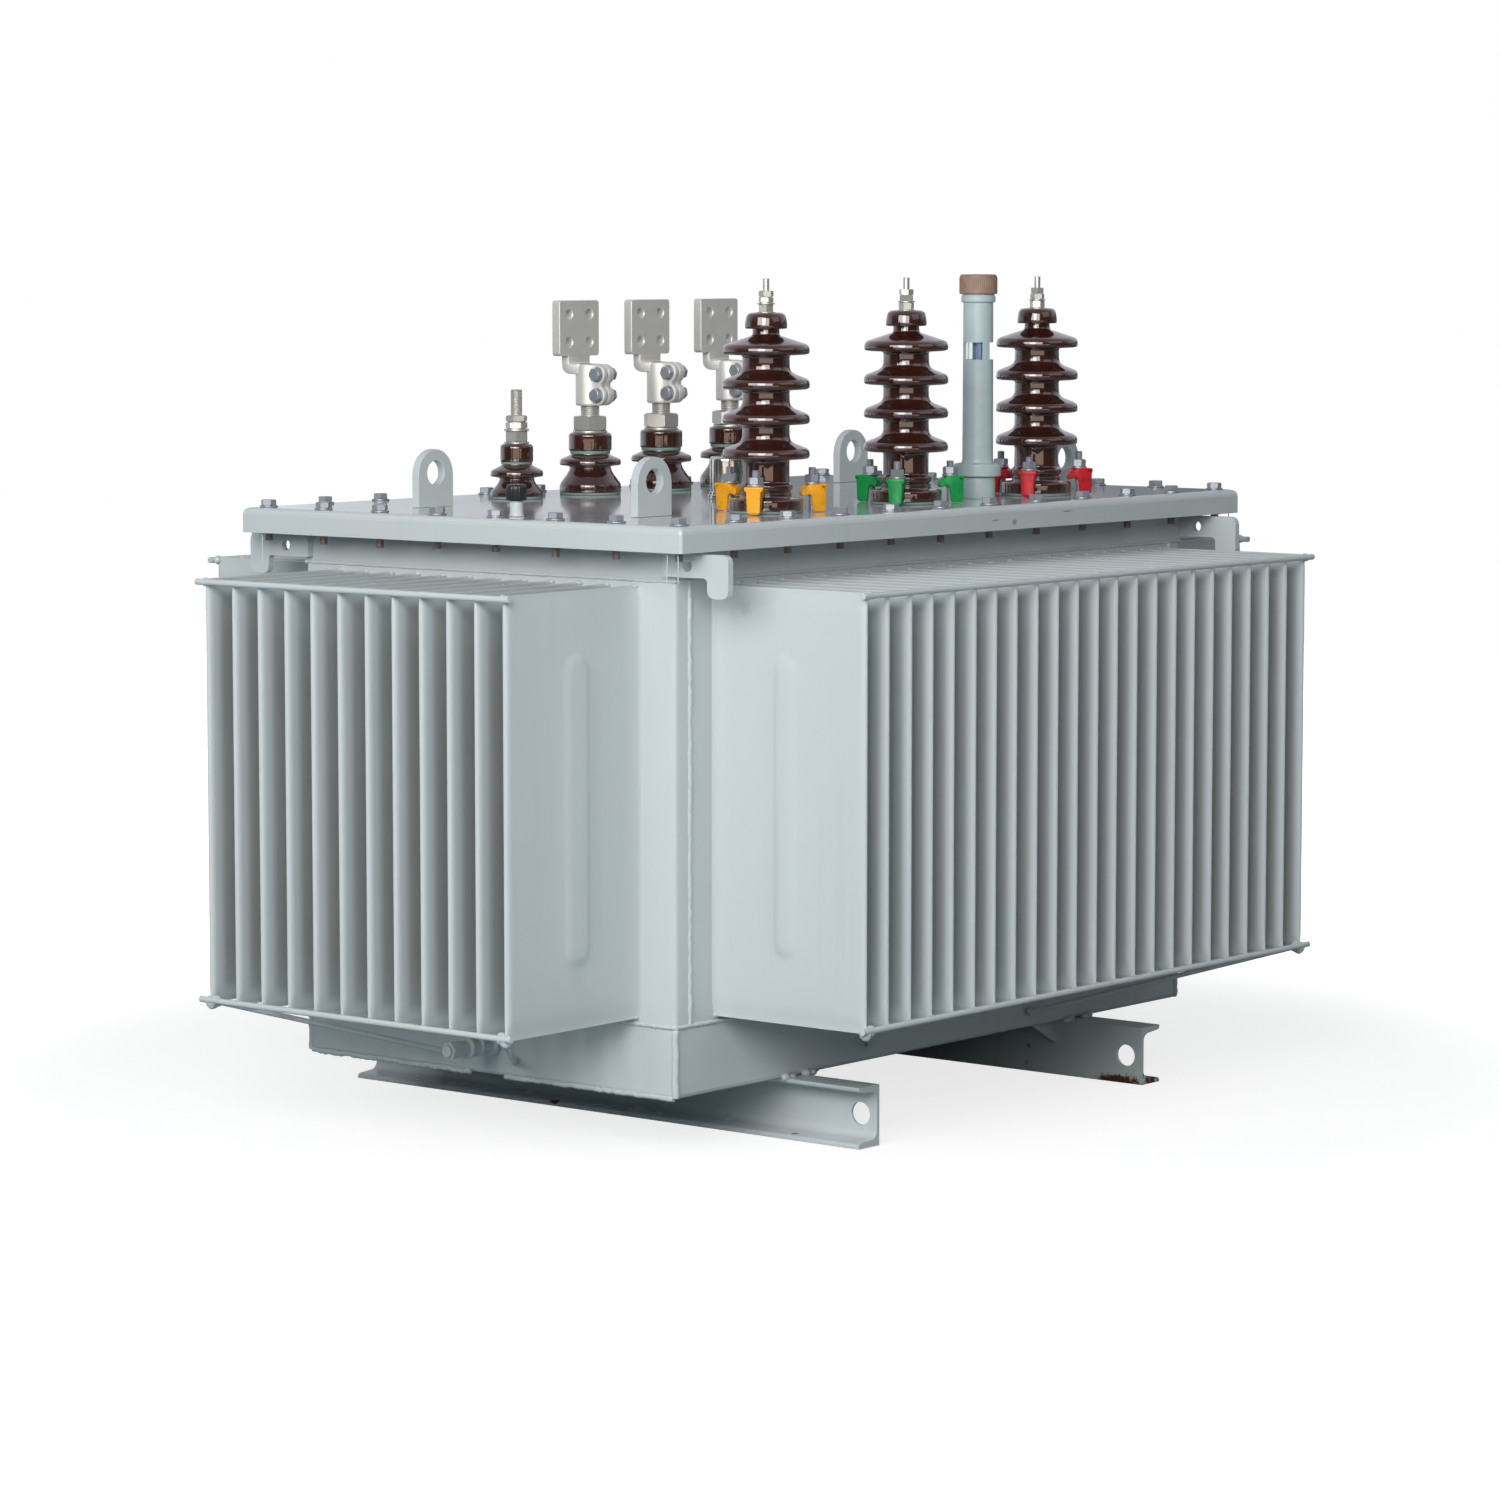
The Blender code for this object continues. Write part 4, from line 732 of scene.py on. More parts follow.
def fin_ring(depth, height, lean, swell):
    """One level of a fin, from its root on one side round the tip to its root on the other."""
    narrow = min(smoothstep((height - FIN_LOW) / TAPER), smoothstep((FIN_HIGH - height) / TAPER))
    half = FIN_PINCH + (FIN_HALF - FIN_PINCH) * narrow
    beyond = max(0.0, abs(height - FIN_MIDDLE) - BEAD_REACH)
    side = [(half + 0.0034, -0.0006), (half + 0.0016, 0.0012), (half, 0.0045)]
    bead = 0.48 * depth
    wide = 0.027 if depth > 0.245 else 0.021
    across = [bead + wide * step for step in (-1, -0.8, -0.6, -0.4, -0.2, 0.2, 0.4, 0.6, 0.8, 1)]
    near_tip = [depth - step for step in (0.032, 0.026, 0.020, 0.0155, 0.0115)]
    for out in [0.03, 0.07] + across + [0.17] + near_tip:
        bump = smoothstep((wide - math.hypot(out - bead, beyond)) / BEAD_SLOPE) * BEAD_HEIGHT
        hollow = swell * math.sin(math.pi * out / depth) * narrow
        side.append((half + bump + hollow, out))
    turns = [math.pi * k / 10 for k in range(11)]
    arc = [(half * math.cos(a), depth - FIN_TIP + FIN_TIP * math.sin(a)) for a in turns]
    points = side + arc + [(-x, out) for x, out in reversed(side)]
    return [(x + lean * out / depth, -out) for x, out in points]


def gap_at(inward, end, start, span, most):
    """Painted shade, with some grime, on a fin: none at its tip, most deep in the gap, less near its top and
    bottom where light comes in, and a painted dark line under each end.
    """
    deep = most * smoothstep((inward - start) / span) * (0.1 + 0.9 * smoothstep((end - 0.010) / 0.022))
    line = 0.5 * smoothstep((end - 0.0010) / 0.0014) * smoothstep((0.008 - end) / 0.004)
    return max(deep, line * smoothstep((inward - 0.003) / 0.004))


def add_fin(bm, x, depth, place, lean, swell, shade, open_side=0):
    """One fin. Its side that faces no other fin, -1 or 1, gets no painted shade."""
    layer = bm.verts.layers.float["gap"]
    rings, shades = [], []
    for height in fin_heights():
        end = min(height - FIN_LOW, FIN_HIGH - height)
        level = fin_ring(depth, height, lean, swell)
        rings.append([place @ Vector((x + a, b, height)) for a, b in level])
        for a, b in level:
            faces_out = (a + lean * b / depth) * open_side > 0
            shades.append(0.0 if faces_out else gap_at(depth + b, end, *shade))
    before = len(bm.verts)
    add_loft(bm, rings)
    for vert, value in zip(list(bm.verts)[before:], shades):
        vert[layer] = value


print("levels a fin:", len(fin_heights()), "points a level:", len(fin_ring(0.243, 0.4, 0.0, 0.0)))

# %% Four walls
HALF_X = 0.560
HALF_Y = 0.320
WALL_LOW = 0.1726
WALL_HIGH = 0.7366
SHEET = 0.0015
# shade sets where the painted shade between the fins starts, over what depth it grows and how strong it gets;
# the short walls face the light differently, so theirs differs.
LONG_ROW = {
    "fins": 23, "pitch": 0.045, "depth": 0.243, "offset": HALF_Y,
    "half_sheet": 0.5317, "brace": 0.315, "shade": (0.007, 0.008, 0.60),
}
SHORT_ROW = {
    "fins": 12, "pitch": 0.0465, "depth": 0.250, "offset": HALF_X,
    "half_sheet": HALF_Y, "brace": 0.205, "shade": (0.013, 0.013, 1.0),
}
WALLS = {
    "front": (0.0, LONG_ROW, 0.014),
    "back": (180.0, LONG_ROW, -0.014),
    "left": (-90.0, SHORT_ROW, 0.0),
    "right": (90.0, SHORT_ROW, 0.0),
}


def wall_place(turn, row):
    offset = Matrix.Translation((0.0, -row["offset"], 0.0))
    return Matrix.Rotation(math.radians(turn), 4, "Z") @ offset


def fin_centres(row, shift):
    return [shift + (i - (row["fins"] - 1) / 2) * row["pitch"] for i in range(row["fins"])]


def sheet_outline(side, half):
    """The back sheet seen from above. On a short side it turns round both corners of the tank."""
    if side in ("front", "back"):
        return [Vector((-half, 0)), Vector((half, 0)), Vector((half, SHEET)), Vector((-half, SHEET))]
    reach = 0.028
    inner = half - SHEET
    corners = [(-half, reach, 0), (-half, 0, 0.007), (half, 0, 0.007), (half, reach, 0),
               (inner, reach, 0), (inner, SHEET, 0.0055), (-inner, SHEET, 0.0055), (-inner, reach, 0)]
    return rounded(corners, closed=True)


for side, (turn, row, shift) in WALLS.items():
    last = row["fins"] - 1
    chance = random.Random(len(side) * 7 + row["fins"])
    place = wall_place(turn, row)
    bm = bmesh.new()
    bm.verts.layers.float.new("gap")
    outline = sheet_outline(side, row["half_sheet"])
    add_loft(bm, [[place @ Vector((p.x, p.y, z)) for p in outline] for z in (WALL_LOW, WALL_HIGH)])
    for i, x in enumerate(fin_centres(row, shift)):
        lean = chance.uniform(-0.0009, 0.0009)
        swell = 0.0 if i in (0, last) else chance.uniform(-0.0003, 0.0006)
        open_side = {0: -1, last: 1}.get(i, 0)
        lean *= 0.4 if open_side else 1.0
        add_fin(bm, x, row["depth"], place, lean, swell, row["shade"], open_side)
    wall = add_piece("fins_" + side, bm, fin_paint, ["finned_wall_" + side], sharp=38.0)
    print(wall.name, "faces:", len(wall.data.polygons))

# %% [markdown]
# ## Rods, braces and welds on the fins
#
# A round rod runs along the tips at the top and bottom of each row and holds the fins apart.
# Each fin is welded to it with one small drop, and two thin braces run from the lower rod back to
# the pan. The drops could be left out, but their small shadows give the rods their scale.

# %% Rods and weld drops
ROD = 0.004
ROD_PAST_FIN = 0.0138
BRACE = 0.0035
BRACE_FOOT = (-0.0056, 0.1033)
UPPER_DROPS = ((0.0, 0.0028, 0.0, 0.0058), (0.007, 0.0020, 0.0, 0.0046), (-0.004, 0.0055, 0.0, 0.0052))
LOWER_DROPS = ((0.0, 0.0028, -0.003, 0.0058), (0.007, 0.0020, -0.003, 0.0046),
               (-0.004, 0.0055, -0.003, 0.0052), (0.001, 0.0062, -0.0045, 0.0084),
               (0.008, 0.0070, -0.0010, 0.0080))


def drop(bm, centre, size, chance, squeeze=(1.0, 1.0, 1.0)):
    """A small lumpy drop of weld."""
    made = bmesh.ops.create_icosphere(bm, subdivisions=2, radius=1.0)["verts"]
    for vert in made:
        lump = size * (1 + chance.uniform(-0.13, 0.13))
        vert.co = Vector(centre) + Vector([c * s * lump for c, s in zip(vert.co, squeeze)])


for side, (turn, row, shift) in WALLS.items():
    chance = random.Random(40 + len(side))
    place = wall_place(turn, row)
    centres = fin_centres(row, shift)
    first, last = centres[0], centres[-1]
    rods = bmesh.new()
    drops = bmesh.new()
    y = -row["depth"] - 0.0001 - ROD
    for z, end_drops in ((FIN_HIGH - ROD, UPPER_DROPS), (FIN_LOW + ROD, LOWER_DROPS)):
        start, end = first - ROD_PAST_FIN, last + ROD_PAST_FIN
        steps = 2 * row["fins"] - 1
        line = [start + (end - start) * k / steps for k in range(steps + 1)]
        add_bar(rods, [place @ Vector((x, y + 0.0002 * math.sin(x * 37), z)) for x in line], ROD)
        for x in centres:
            weld = place @ Vector((x + chance.uniform(-0.001, 0.001), y + 0.0042, z + 0.0005))
            drop(drops, weld, 0.0036, chance)
            if x in (first, last):
                way = 1 if x == first else -1
                for along, out, up, size in end_drops:
                    drop(drops, place @ Vector((x + way * along, y + out, z + up)), size, chance)
    for x, way in ((first, 1), (last, -1)):
        start = place @ Vector((x, y, FIN_LOW + ROD))
        foot = place @ Vector((x + way * row["brace"], *BRACE_FOOT))
        add_bar(rods, [start, start.lerp(foot, 0.5), foot], BRACE)
        drop(drops, foot + Vector((0, 0, 0.001)), 0.0058, chance)
        drop(drops, place @ Vector((x, y + 0.0022, FIN_LOW + ROD)), 0.0050, chance)
    for x in centres:
        for z in (FIN_HIGH - 0.001, FIN_LOW + 0.001):
            drop(drops, place @ Vector((x, -0.001, z)), 0.0050, chance, (1.3, 1.0, 0.7))
    add_piece("fin_rods_" + side, rods, rod_paint)
    add_piece("fin_welds_" + side, drops, weld_paint, sharp=60.0)
print("rods and welds on", len(WALLS), "walls")

# %% [markdown]
# ## Weld seams on the tank
#
# The pan is welded to the walls all round, and each short wall turns the corner and is welded to
# the long wall an inch further on. A seam laid by hand is a row of overlapping ripples, so the
# seam's radius rises and falls along its length.

# %% Seams
CORNERS = [(sign_x, sign_y) for sign_x in (-1, 1) for sign_y in (-1, 1)]
TURNED_EDGE = 0.0281
PAN_LOW = 0.082
CHANNEL_BACK = 0.297
FLANGE = 0.043


def add_seam(bm, start, end, radius, chance, pitch, wander):
    """A hand-laid seam: a bar whose radius rises and falls at the pitch, and which wanders a little."""
    start, end = Vector(start), Vector(end)
    count = max(4, int((end - start).length / pitch) * 2)
    points, radii = [], []
    for i in range(count + 1):
        wobble = Vector([chance.uniform(-wander, wander) for _ in range(3)])
        points.append(start.lerp(end, i / count) + wobble * 0.5)
        radii.append(radius * (1.0 if i % 2 else 0.90) * (1 + chance.uniform(-0.07, 0.07)))
    add_bar(bm, points, radii, 8)


def tank_edges(sign, z):
    """A long and a short edge of the tank, each as its two ends."""
    x, y = sign * HALF_X, sign * HALF_Y
    return ((-HALF_X, y, z), (HALF_X, y, z)), ((x, -HALF_Y, z), (x, HALF_Y, z))


seams = bmesh.new()
chance = random.Random(5)
for sign_x, sign_y in CORNERS:
    x, y = sign_x * (HALF_X - TURNED_EDGE), sign_y * (HALF_Y - 0.0008)
    add_seam(seams, (x, y, WALL_LOW + 0.002), (x, y, WALL_HIGH), 0.0039, chance, 0.010, 0.0017)
    x, y = sign_x * (HALF_X - 0.0018), sign_y * (HALF_Y - 0.0018)
    add_seam(seams, (x, y, PAN_LOW), (x, y, 0.170), 0.0052, chance, 0.011, 0.0016)
for sign in (-1, 1):
    for start, end in tank_edges(sign, WALL_LOW - 0.0004):
        add_seam(seams, start, end, 0.0032, chance, 0.006, 0.0012)
for sign in (-1, 1):
    for start, end in tank_edges(sign, WALL_HIGH + 0.0002):
        add_seam(seams, start, end, 0.0024, chance, 0.007, 0.0010)
    start, end = (-HALF_X, sign * 0.315, 0.0812), (-HALF_X, sign * 0.03, 0.0812)
    add_seam(seams, start, end, 0.0040, chance, 0.009, 0.0022)
    for side in (-1, 1):
        for reach in (0.0, FLANGE):
            x = side * (CHANNEL_BACK + reach)
            drop(seams, (x, sign * 0.3215, PAN_LOW), 0.006, chance, (1.2, 1.0, 0.9))
            drop(seams, (x - side * 0.012, sign * 0.3225, 0.0812), 0.005, chance, (1.4, 1.0, 0.8))
frame_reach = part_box("tank_frame")[1]
for sign_x, sign_y in CORNERS:
    x = sign_x * (frame_reach.x - 0.0004)
    for inset in (0.004, 0.022):
        y = sign_y * (frame_reach.y - inset)
        add_seam(seams, (x, y, WALL_HIGH + 0.002), (x, y, 0.785), 0.0008, chance, 0.008, 0.0008)
seam = add_piece("tank_seams", seams, weld_paint, sharp=60.0)
print("seam faces:", len(seam.data.polygons))

# %% [markdown]
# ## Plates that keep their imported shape
#
# The lid, its gasket, frame, pan, lugs and hooks are already right in shape, so they keep their
# mesh, and so does the plain block for core and coils, which can't be seen.
# A weld closes the split edges and a small bevel rounds them, because even a sawn plate catches a
# thin line of light at its edge, and each plate gets its finish.

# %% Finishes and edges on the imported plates
def dress(node, finish, edge=0.0012, steps=3):
    item = nodes[node]
    for holder in item.material_slots:
        holder.material = finish
    weld = item.modifiers.new("join", "WELD")
    weld.merge_threshold = 0.00002
    if edge:
        bevel = item.modifiers.new("edge", "BEVEL")
        bevel.width = edge
        bevel.segments = steps
        bevel.limit_method = "ANGLE"
        bevel.angle_limit = math.radians(32)
        bevel.harden_normals = False
        bevel.use_clamp_overlap = True


dress("lid", lid_paint, 0.0026, 4)
dress("tank_frame", paint, 0.0008)
dress("base_pan", paint, 0.0012)
dress("core_and_coils", core_varnish, 0.0)
dress("lid_gasket", grey_rubber, 0.0010)
for side in ("left", "right"):
    for end in ("front", "back"):
        dress(f"lifting_lug_{end}_{side}", paint, 0.0010)
        dress(f"tank_hook_{end}_{side}", paint, 0.0010)
print("dressed plates:", sum(1 for o in nodes.values() if o.modifiers))

# %% [markdown]
# ## High-voltage bushings
#
# Each bushing is one glazed porcelain, turned on a wheel: a collar for the clamps, four sheds with
# drooping rims, and a neck that a small round hood closes. The outline below is drawn in millimetres
# and turned about the axis. Soft corners follow the way a glazed edge rounds off.

# %% Porcelains and hoods
def hv_outline():
    points = [(0, 3, 0), (48.5, 3, 1.2), (48.7, 19, 4.2), (34.6, 19.4, 1.6), (33.4, 22, 1), (34.3, 26, 0.8),
              (32.0, 27.6, 0.5), (34.6, 29.5, 1.4), (35.0, 36, 1.8), (30.6, 39.2, 1.8)]
    for rim in (76, 121, 166):
        points += [(30.6, rim - 7.5, 3.2), (50, rim - 6.4, 0.5), (57.3, rim - 5.2, 5.2), (56.4, rim + 6, 5.2),
                   (31.0, rim + 16, 8)]
    points += [(30.6, 203.5, 3.2), (50, 204.6, 0.5), (57.3, 205.8, 5.2), (55.6, 217, 5.0), (26.0, 226.8, 7),
               (17.6, 229.5, 3.5), (17.4, 239, 0), (0, 239, 0)]
    return rounded(points)


def hood_outline():
    return rounded([(0, 238, 0), (24.0, 238, 1.0), (27.6, 238.4, 3.4), (27.2, 247.0, 4.0),
                    (24.4, 258.9, 7.5), (0, 258.9, 0)])


gaskets = bmesh.new()
for letter in "abc":
    place = at(*centre_of("hv_porcelain_" + letter))
    bm = bmesh.new()
    add_turned(bm, hv_outline(), place, 96)
    add_turned(bm, hood_outline(), place, 72)
    add_piece("bushing_hv_" + letter, bm, brown_glaze, ["hv_porcelain_" + letter], sharp=50)
    add_disc(gaskets, 47.6, 0, 3, place, 64, 0.8, top=48.1)
print("bushing outline points:", len(hv_outline()))

# %% [markdown]
# ## Terminals of the high-voltage bushings
#
# On each hood stand a thin plate, a large hexagon, a washer, two thin nuts and the end of the stud.
# Its thread is too fine to show at this scale, so the end is plain. All of it is tinned brass,
# drawn as one set of turned and hexagonal bodies.

# %% High-voltage terminals
for letter, turn in zip("abc", (12.0, 47.0, 30.0)):
    place = at(*centre_of("hv_porcelain_" + letter), turn)
    bm = bmesh.new()
    add_disc(bm, 12.4, 258.9, 259.7, place, 36, 0.2)
    add_hexagon(bm, 17.9, 259.7, 269.5, place)
    add_disc(bm, 11.5, 269.5, 271.3, place, 36, 0.3)
    add_hexagon(bm, 17.0, 271.4, 279.0, place, 14.0)
    add_hexagon(bm, 17.0, 279.3, 287.2, place, 37.0)
    add_turned(bm, rounded([(0, 287, 0), (4.2, 287, 0), (4.2, 302.8, 0.8), (0, 302.8, 0)]), place, 28)
    add_piece("terminal_hv_" + letter, bm, tinned, ["hv_terminal_" + letter], sharp=20)
print("high-voltage terminals ready")

# %% [markdown]
# ## Clamps that hold the bushings down
#
# Three cast claws press on each collar, coated yellow, green or red for the three phases. A claw is
# a leg that stands beside the porcelain and an arm that reaches over the rim. The leg narrows
# towards its foot, which stands on the lid. A stud comes up through the arm and carries a washer
# and a nut.

# %% Cuts and slabs
def boolean_cut(body, cutters):
    """A new bmesh of body less cutters."""
    items = []
    for label, part in (("body", body), ("cutters", cutters)):
        bmesh.ops.recalc_face_normals(part, faces=part.faces)
        mesh = bpy.data.meshes.new(label)
        part.to_mesh(mesh)
        part.free()
        item = bpy.data.objects.new(label, mesh)
        bpy.context.scene.collection.objects.link(item)
        items.append(item)
    cut = items[0].modifiers.new("cut", "BOOLEAN")
    cut.operation = "DIFFERENCE"
    cut.solver = "EXACT"
    cut.object = items[1]
    bpy.context.view_layer.update()
    result = bmesh.new()
    result.from_object(items[0], bpy.context.evaluated_depsgraph_get())
    for item in items:
        mesh = item.data
        bpy.data.objects.remove(item)
        bpy.data.meshes.remove(mesh)
    return result


def add_slab(bm, outline, half_width, place, edge=0.9):
    """An outline of (out, up) in millimetres, made as wide as half_width says at each point."""
    count = len(outline)

    def ring(shrink, side, share):
        points = []
        for i, point in enumerate(outline):
            ahead = Vector(outline[(i + 1) % count]) - Vector(outline[i - 1])
            inward = Vector((-ahead.y, ahead.x)).normalized() * shrink
            wide = half_width(point[0], point[1]) - share
            out, up = point[0] + inward.x, point[1] + inward.y
            points.append(place @ Vector((out * MM, side * wide * MM, up * MM)))
        return points

    soft = edge * 0.3
    levels = [ring(edge, -1, 0.0), ring(soft, -1, soft), ring(0.0, -1, edge)]
    levels += [ring(0.0, 1, edge), ring(soft, 1, soft), ring(edge, 1, 0.0)]
    add_loft(bm, levels)


print("cuts and slabs ready")


# %% Claws
def claw_outline():
    corners = [(64.0, 0.4, 1.5), (78.6, 0.4, 1.5), (80, 4, 1), (80, 16, 0), (80, 29.5, 0), (80, 30.7, 0),
               (80, 32, 0), (80, 36.3, 1.6), (57, 36.3, 2.5), (55, 34.4, 1.5), (48.5, 32.4, 3.5),
               (46.6, 25.0, 3), (48.6, 19.9, 2.6), (53.5, 23.0, 4), (60.6, 22.4, 5), (61.4, 14, 2),
               (62.4, 4, 1)]
    return rounded(corners, closed=True, steps=4)


def claw_half_width(out, up):
    foot = 6.0 + 2.4 * smoothstep(up / 4)
    leg = foot + 1.2 * smoothstep((up - 4) / 24) + 2.8 * smoothstep((up - 29.6) / 2.2)
    return leg if out > 66 else leg - 2.2 * smoothstep((66 - out) / 14)


PHASES = (("a", yellow_coat, "yellow"), ("b", green_coat, "green"), ("c", red_coat, "red"))
NOTCH = [(73.2, 33.6), (77.2, 33.6), (77.2, 29.4)]
STUD_REACH = 0.0635
studs = bmesh.new()
nuts = bmesh.new()
chance = random.Random(11)
for letter, coat, colour in PHASES:
    middle = centre_of("hv_porcelain_" + letter)
    for number, angle in enumerate((87.0, 207.0, 327.0), 1):
        place = at(*middle, angle)
        body, notch = bmesh.new(), bmesh.new()
        add_slab(body, claw_outline(), claw_half_width, place)
        add_slab(notch, NOTCH, lambda out, up: 15, place, 0.2)
        bm = boolean_cut(body, notch)
        clamp = f"hv_clamp_{letter}{number}"
        add_piece(f"claw_{letter}{number}", bm, coat, [clamp], sharp=50)
        axis = place @ Matrix.Translation((STUD_REACH, 0, 0))
        turn = chance.uniform(0, 60)
        add_disc(nuts, 11, 36.3, 38.9, axis, 32)
        add_hexagon(nuts, 17.4, 39.0, 48.6, axis, turn)
        add_thread(studs, 5.0, 0.3, chance.uniform(55, 60), 1.5, axis, 20)
add_piece("claw_nuts", nuts, zinc, sharp=20)
add_piece("claw_studs", studs, zinc)

# %% [markdown]
# ## Low-voltage bushings
#
# The low-voltage side carries far more current at a lower voltage. So its porcelains are short
# bells with a single shed, and their studs are thick. Two porcelain parts meet at a grey gasket
# ring, with a washer, a heavy hexagon and the stud above. The neutral bushing is a smaller one of
# the same kind.

# %% Bells, crowns and stems
def bell_outline(base, neck, rim, crown, low, under, top, end):
    """A one-shed bell: base radius, neck, rim and crown radii, then the heights that matter."""
    return rounded([(0, 3, 0), (base, 3, 1.5), (base, low, 3.2), (neck + 2.0, under - 9, 7),
                    (neck, under - 1.5, 1.6), (neck + 7, under, 0.8), (rim, under + 0.8, 2.8),
                    (rim - 0.5, under + 8.6, 3.5), (crown, top, 5), (crown, end, 0), (0, end, 0)])


CROWN = [(0, 61, 0), (29.4, 61, 0.8), (30, 63, 1), (30, 83.5, 2.4), (26, 86, 2.4), (0, 86, 0)]
for letter, turn in zip("abc", (8, 22, 41)):
    middle = centre_of("lv_porcelain_" + letter)
    place = at(*middle)
    bm = bmesh.new()
    bell = bell_outline(base=42.9, neck=28.4, rim=43.0, crown=27.0, low=14, under=40, top=55.0, end=57.0)
    add_turned(bm, bell, place, 80)
    add_turned(bm, rounded(CROWN), place, 80)
    add_piece("bushing_lv_" + letter, bm, brown_glaze, ["lv_porcelain_" + letter], sharp=50)
    add_disc(gaskets, 42.4, 0, 3, place, 64, 0.8, top=42.8)
    add_disc(gaskets, 27.9, 56.6, 61.3, place, 64, 1, top=28.2)
    place = at(*middle, turn)
    bm = bmesh.new()
    add_disc(bm, 24, 86.0, 88.6, place, 48)
    add_hexagon(bm, 44.2, 88.8, 108.8, place)
    add_thread(bm, 13.2, 108.0, 158.9, 3.0, place, 40, 1.5)
    add_piece("stem_lv_" + letter, bm, tinned, ["lv_stem_" + letter], sharp=20)
print("low-voltage bushings ready")

# %% Neutral bushing
NEUTRAL_CROWN = [(0, 50, 0), (22.2, 50, 1), (22.6, 54, 2), (22.6, 72, 3), (19, 74.9, 2), (0, 74.9, 0)]
middle = centre_of("neutral_porcelain")
place = at(*middle)
bm = bmesh.new()
bell = bell_outline(base=36.2, neck=23.5, rim=36.3, crown=20.7, low=9, under=29.5, top=45.5, end=47.5)
add_turned(bm, bell, place, 80)
add_turned(bm, rounded(NEUTRAL_CROWN), place, 72)
add_piece("bushing_neutral", bm, brown_glaze, ["neutral_porcelain"], sharp=50)
add_disc(gaskets, 35.6, 0, 3, place, 64, 0.8, top=36.1)
add_disc(gaskets, 21.4, 47.2, 50.2, place, 64, 0.8, top=21.6)
place = at(*middle, 10)
bm = bmesh.new()
add_disc(bm, 17.3, 75.3, 77.3, place, 48)
add_hexagon(bm, 29.0, 77.5, 92.3, place)
add_disc(bm, 17.2, 92.5, 95.2, place, 48)
add_hexagon(bm, 26.0, 95.4, 104.9, place, 25)
add_hexagon(bm, 26.0, 105.2, 113.7, place, 44)
add_thread(bm, 8.0, 106.0, 149.2, 2.0, place, 32, 1.2)
add_piece("terminal_neutral", bm, tinned, ["neutral_terminal"], sharp=20)
print("neutral bushing ready")

# %% [markdown]
# ## Palm connectors
#
# A cast clamp grips each thick stud: a split ring with two pairs of ears, drawn together by two
# bolts, and above it a flat palm with four holes for the cable lugs. The casting is rougher than
# the turned parts, so it takes the cast finish and rounder edges.

# %% Plates with holes
def merge(bm, part):
    """Moves all faces of one bmesh into another."""
    mesh = bpy.data.meshes.new("part")
    part.to_mesh(mesh)
    part.free()
    bm.from_mesh(mesh)
    bpy.data.meshes.remove(mesh)


def square_with_holes(bm, width, low, high, thick, y, holes, radius, corner, place):
    """An upright plate with round holes right through it, cut with an exact Boolean."""
    half = width / 2
    corners = [(-half, low, corner), (half, low, corner), (half, high, corner), (-half, high, corner)]
    turn = place @ Matrix.Translation((0, y * MM, 0)) @ Matrix.Rotation(math.radians(90), 4, "X")
    body = bmesh.new()
    add_plate(body, [(p.x, p.y) for p in rounded(corners, closed=True, steps=4)], thick, turn, 0.7)
    cutters = bmesh.new()
    for across, up in holes:
        wide = radius + 1.3
        profile = [(0, -thick), (wide, -thick), (wide, -thick / 2), (radius, -thick / 2 + 1.5),
                   (radius, thick / 2 - 1.5), (wide, thick / 2), (wide, thick), (0, thick)]
        add_turned(cutters, profile, turn @ Matrix.Translation((across * MM, up * MM, 0)), 28)
    merge(bm, boolean_cut(body, cutters))


print("plates with holes ready")


# %% Palms
def ear_outline():
    """Both clamping ears as one outline: two round lobes with a waist between them."""
    arc = [math.radians(15 * k) for k in range(11)]
    low = [(20 + 14.2 * math.sin(a), 14.5 - 14.2 * math.cos(a)) for a in arc]
    high = [(out, 58 - up) for out, up in reversed(low)]
    return [(0, 0.3)] + low + high + [(0, 57.7)]


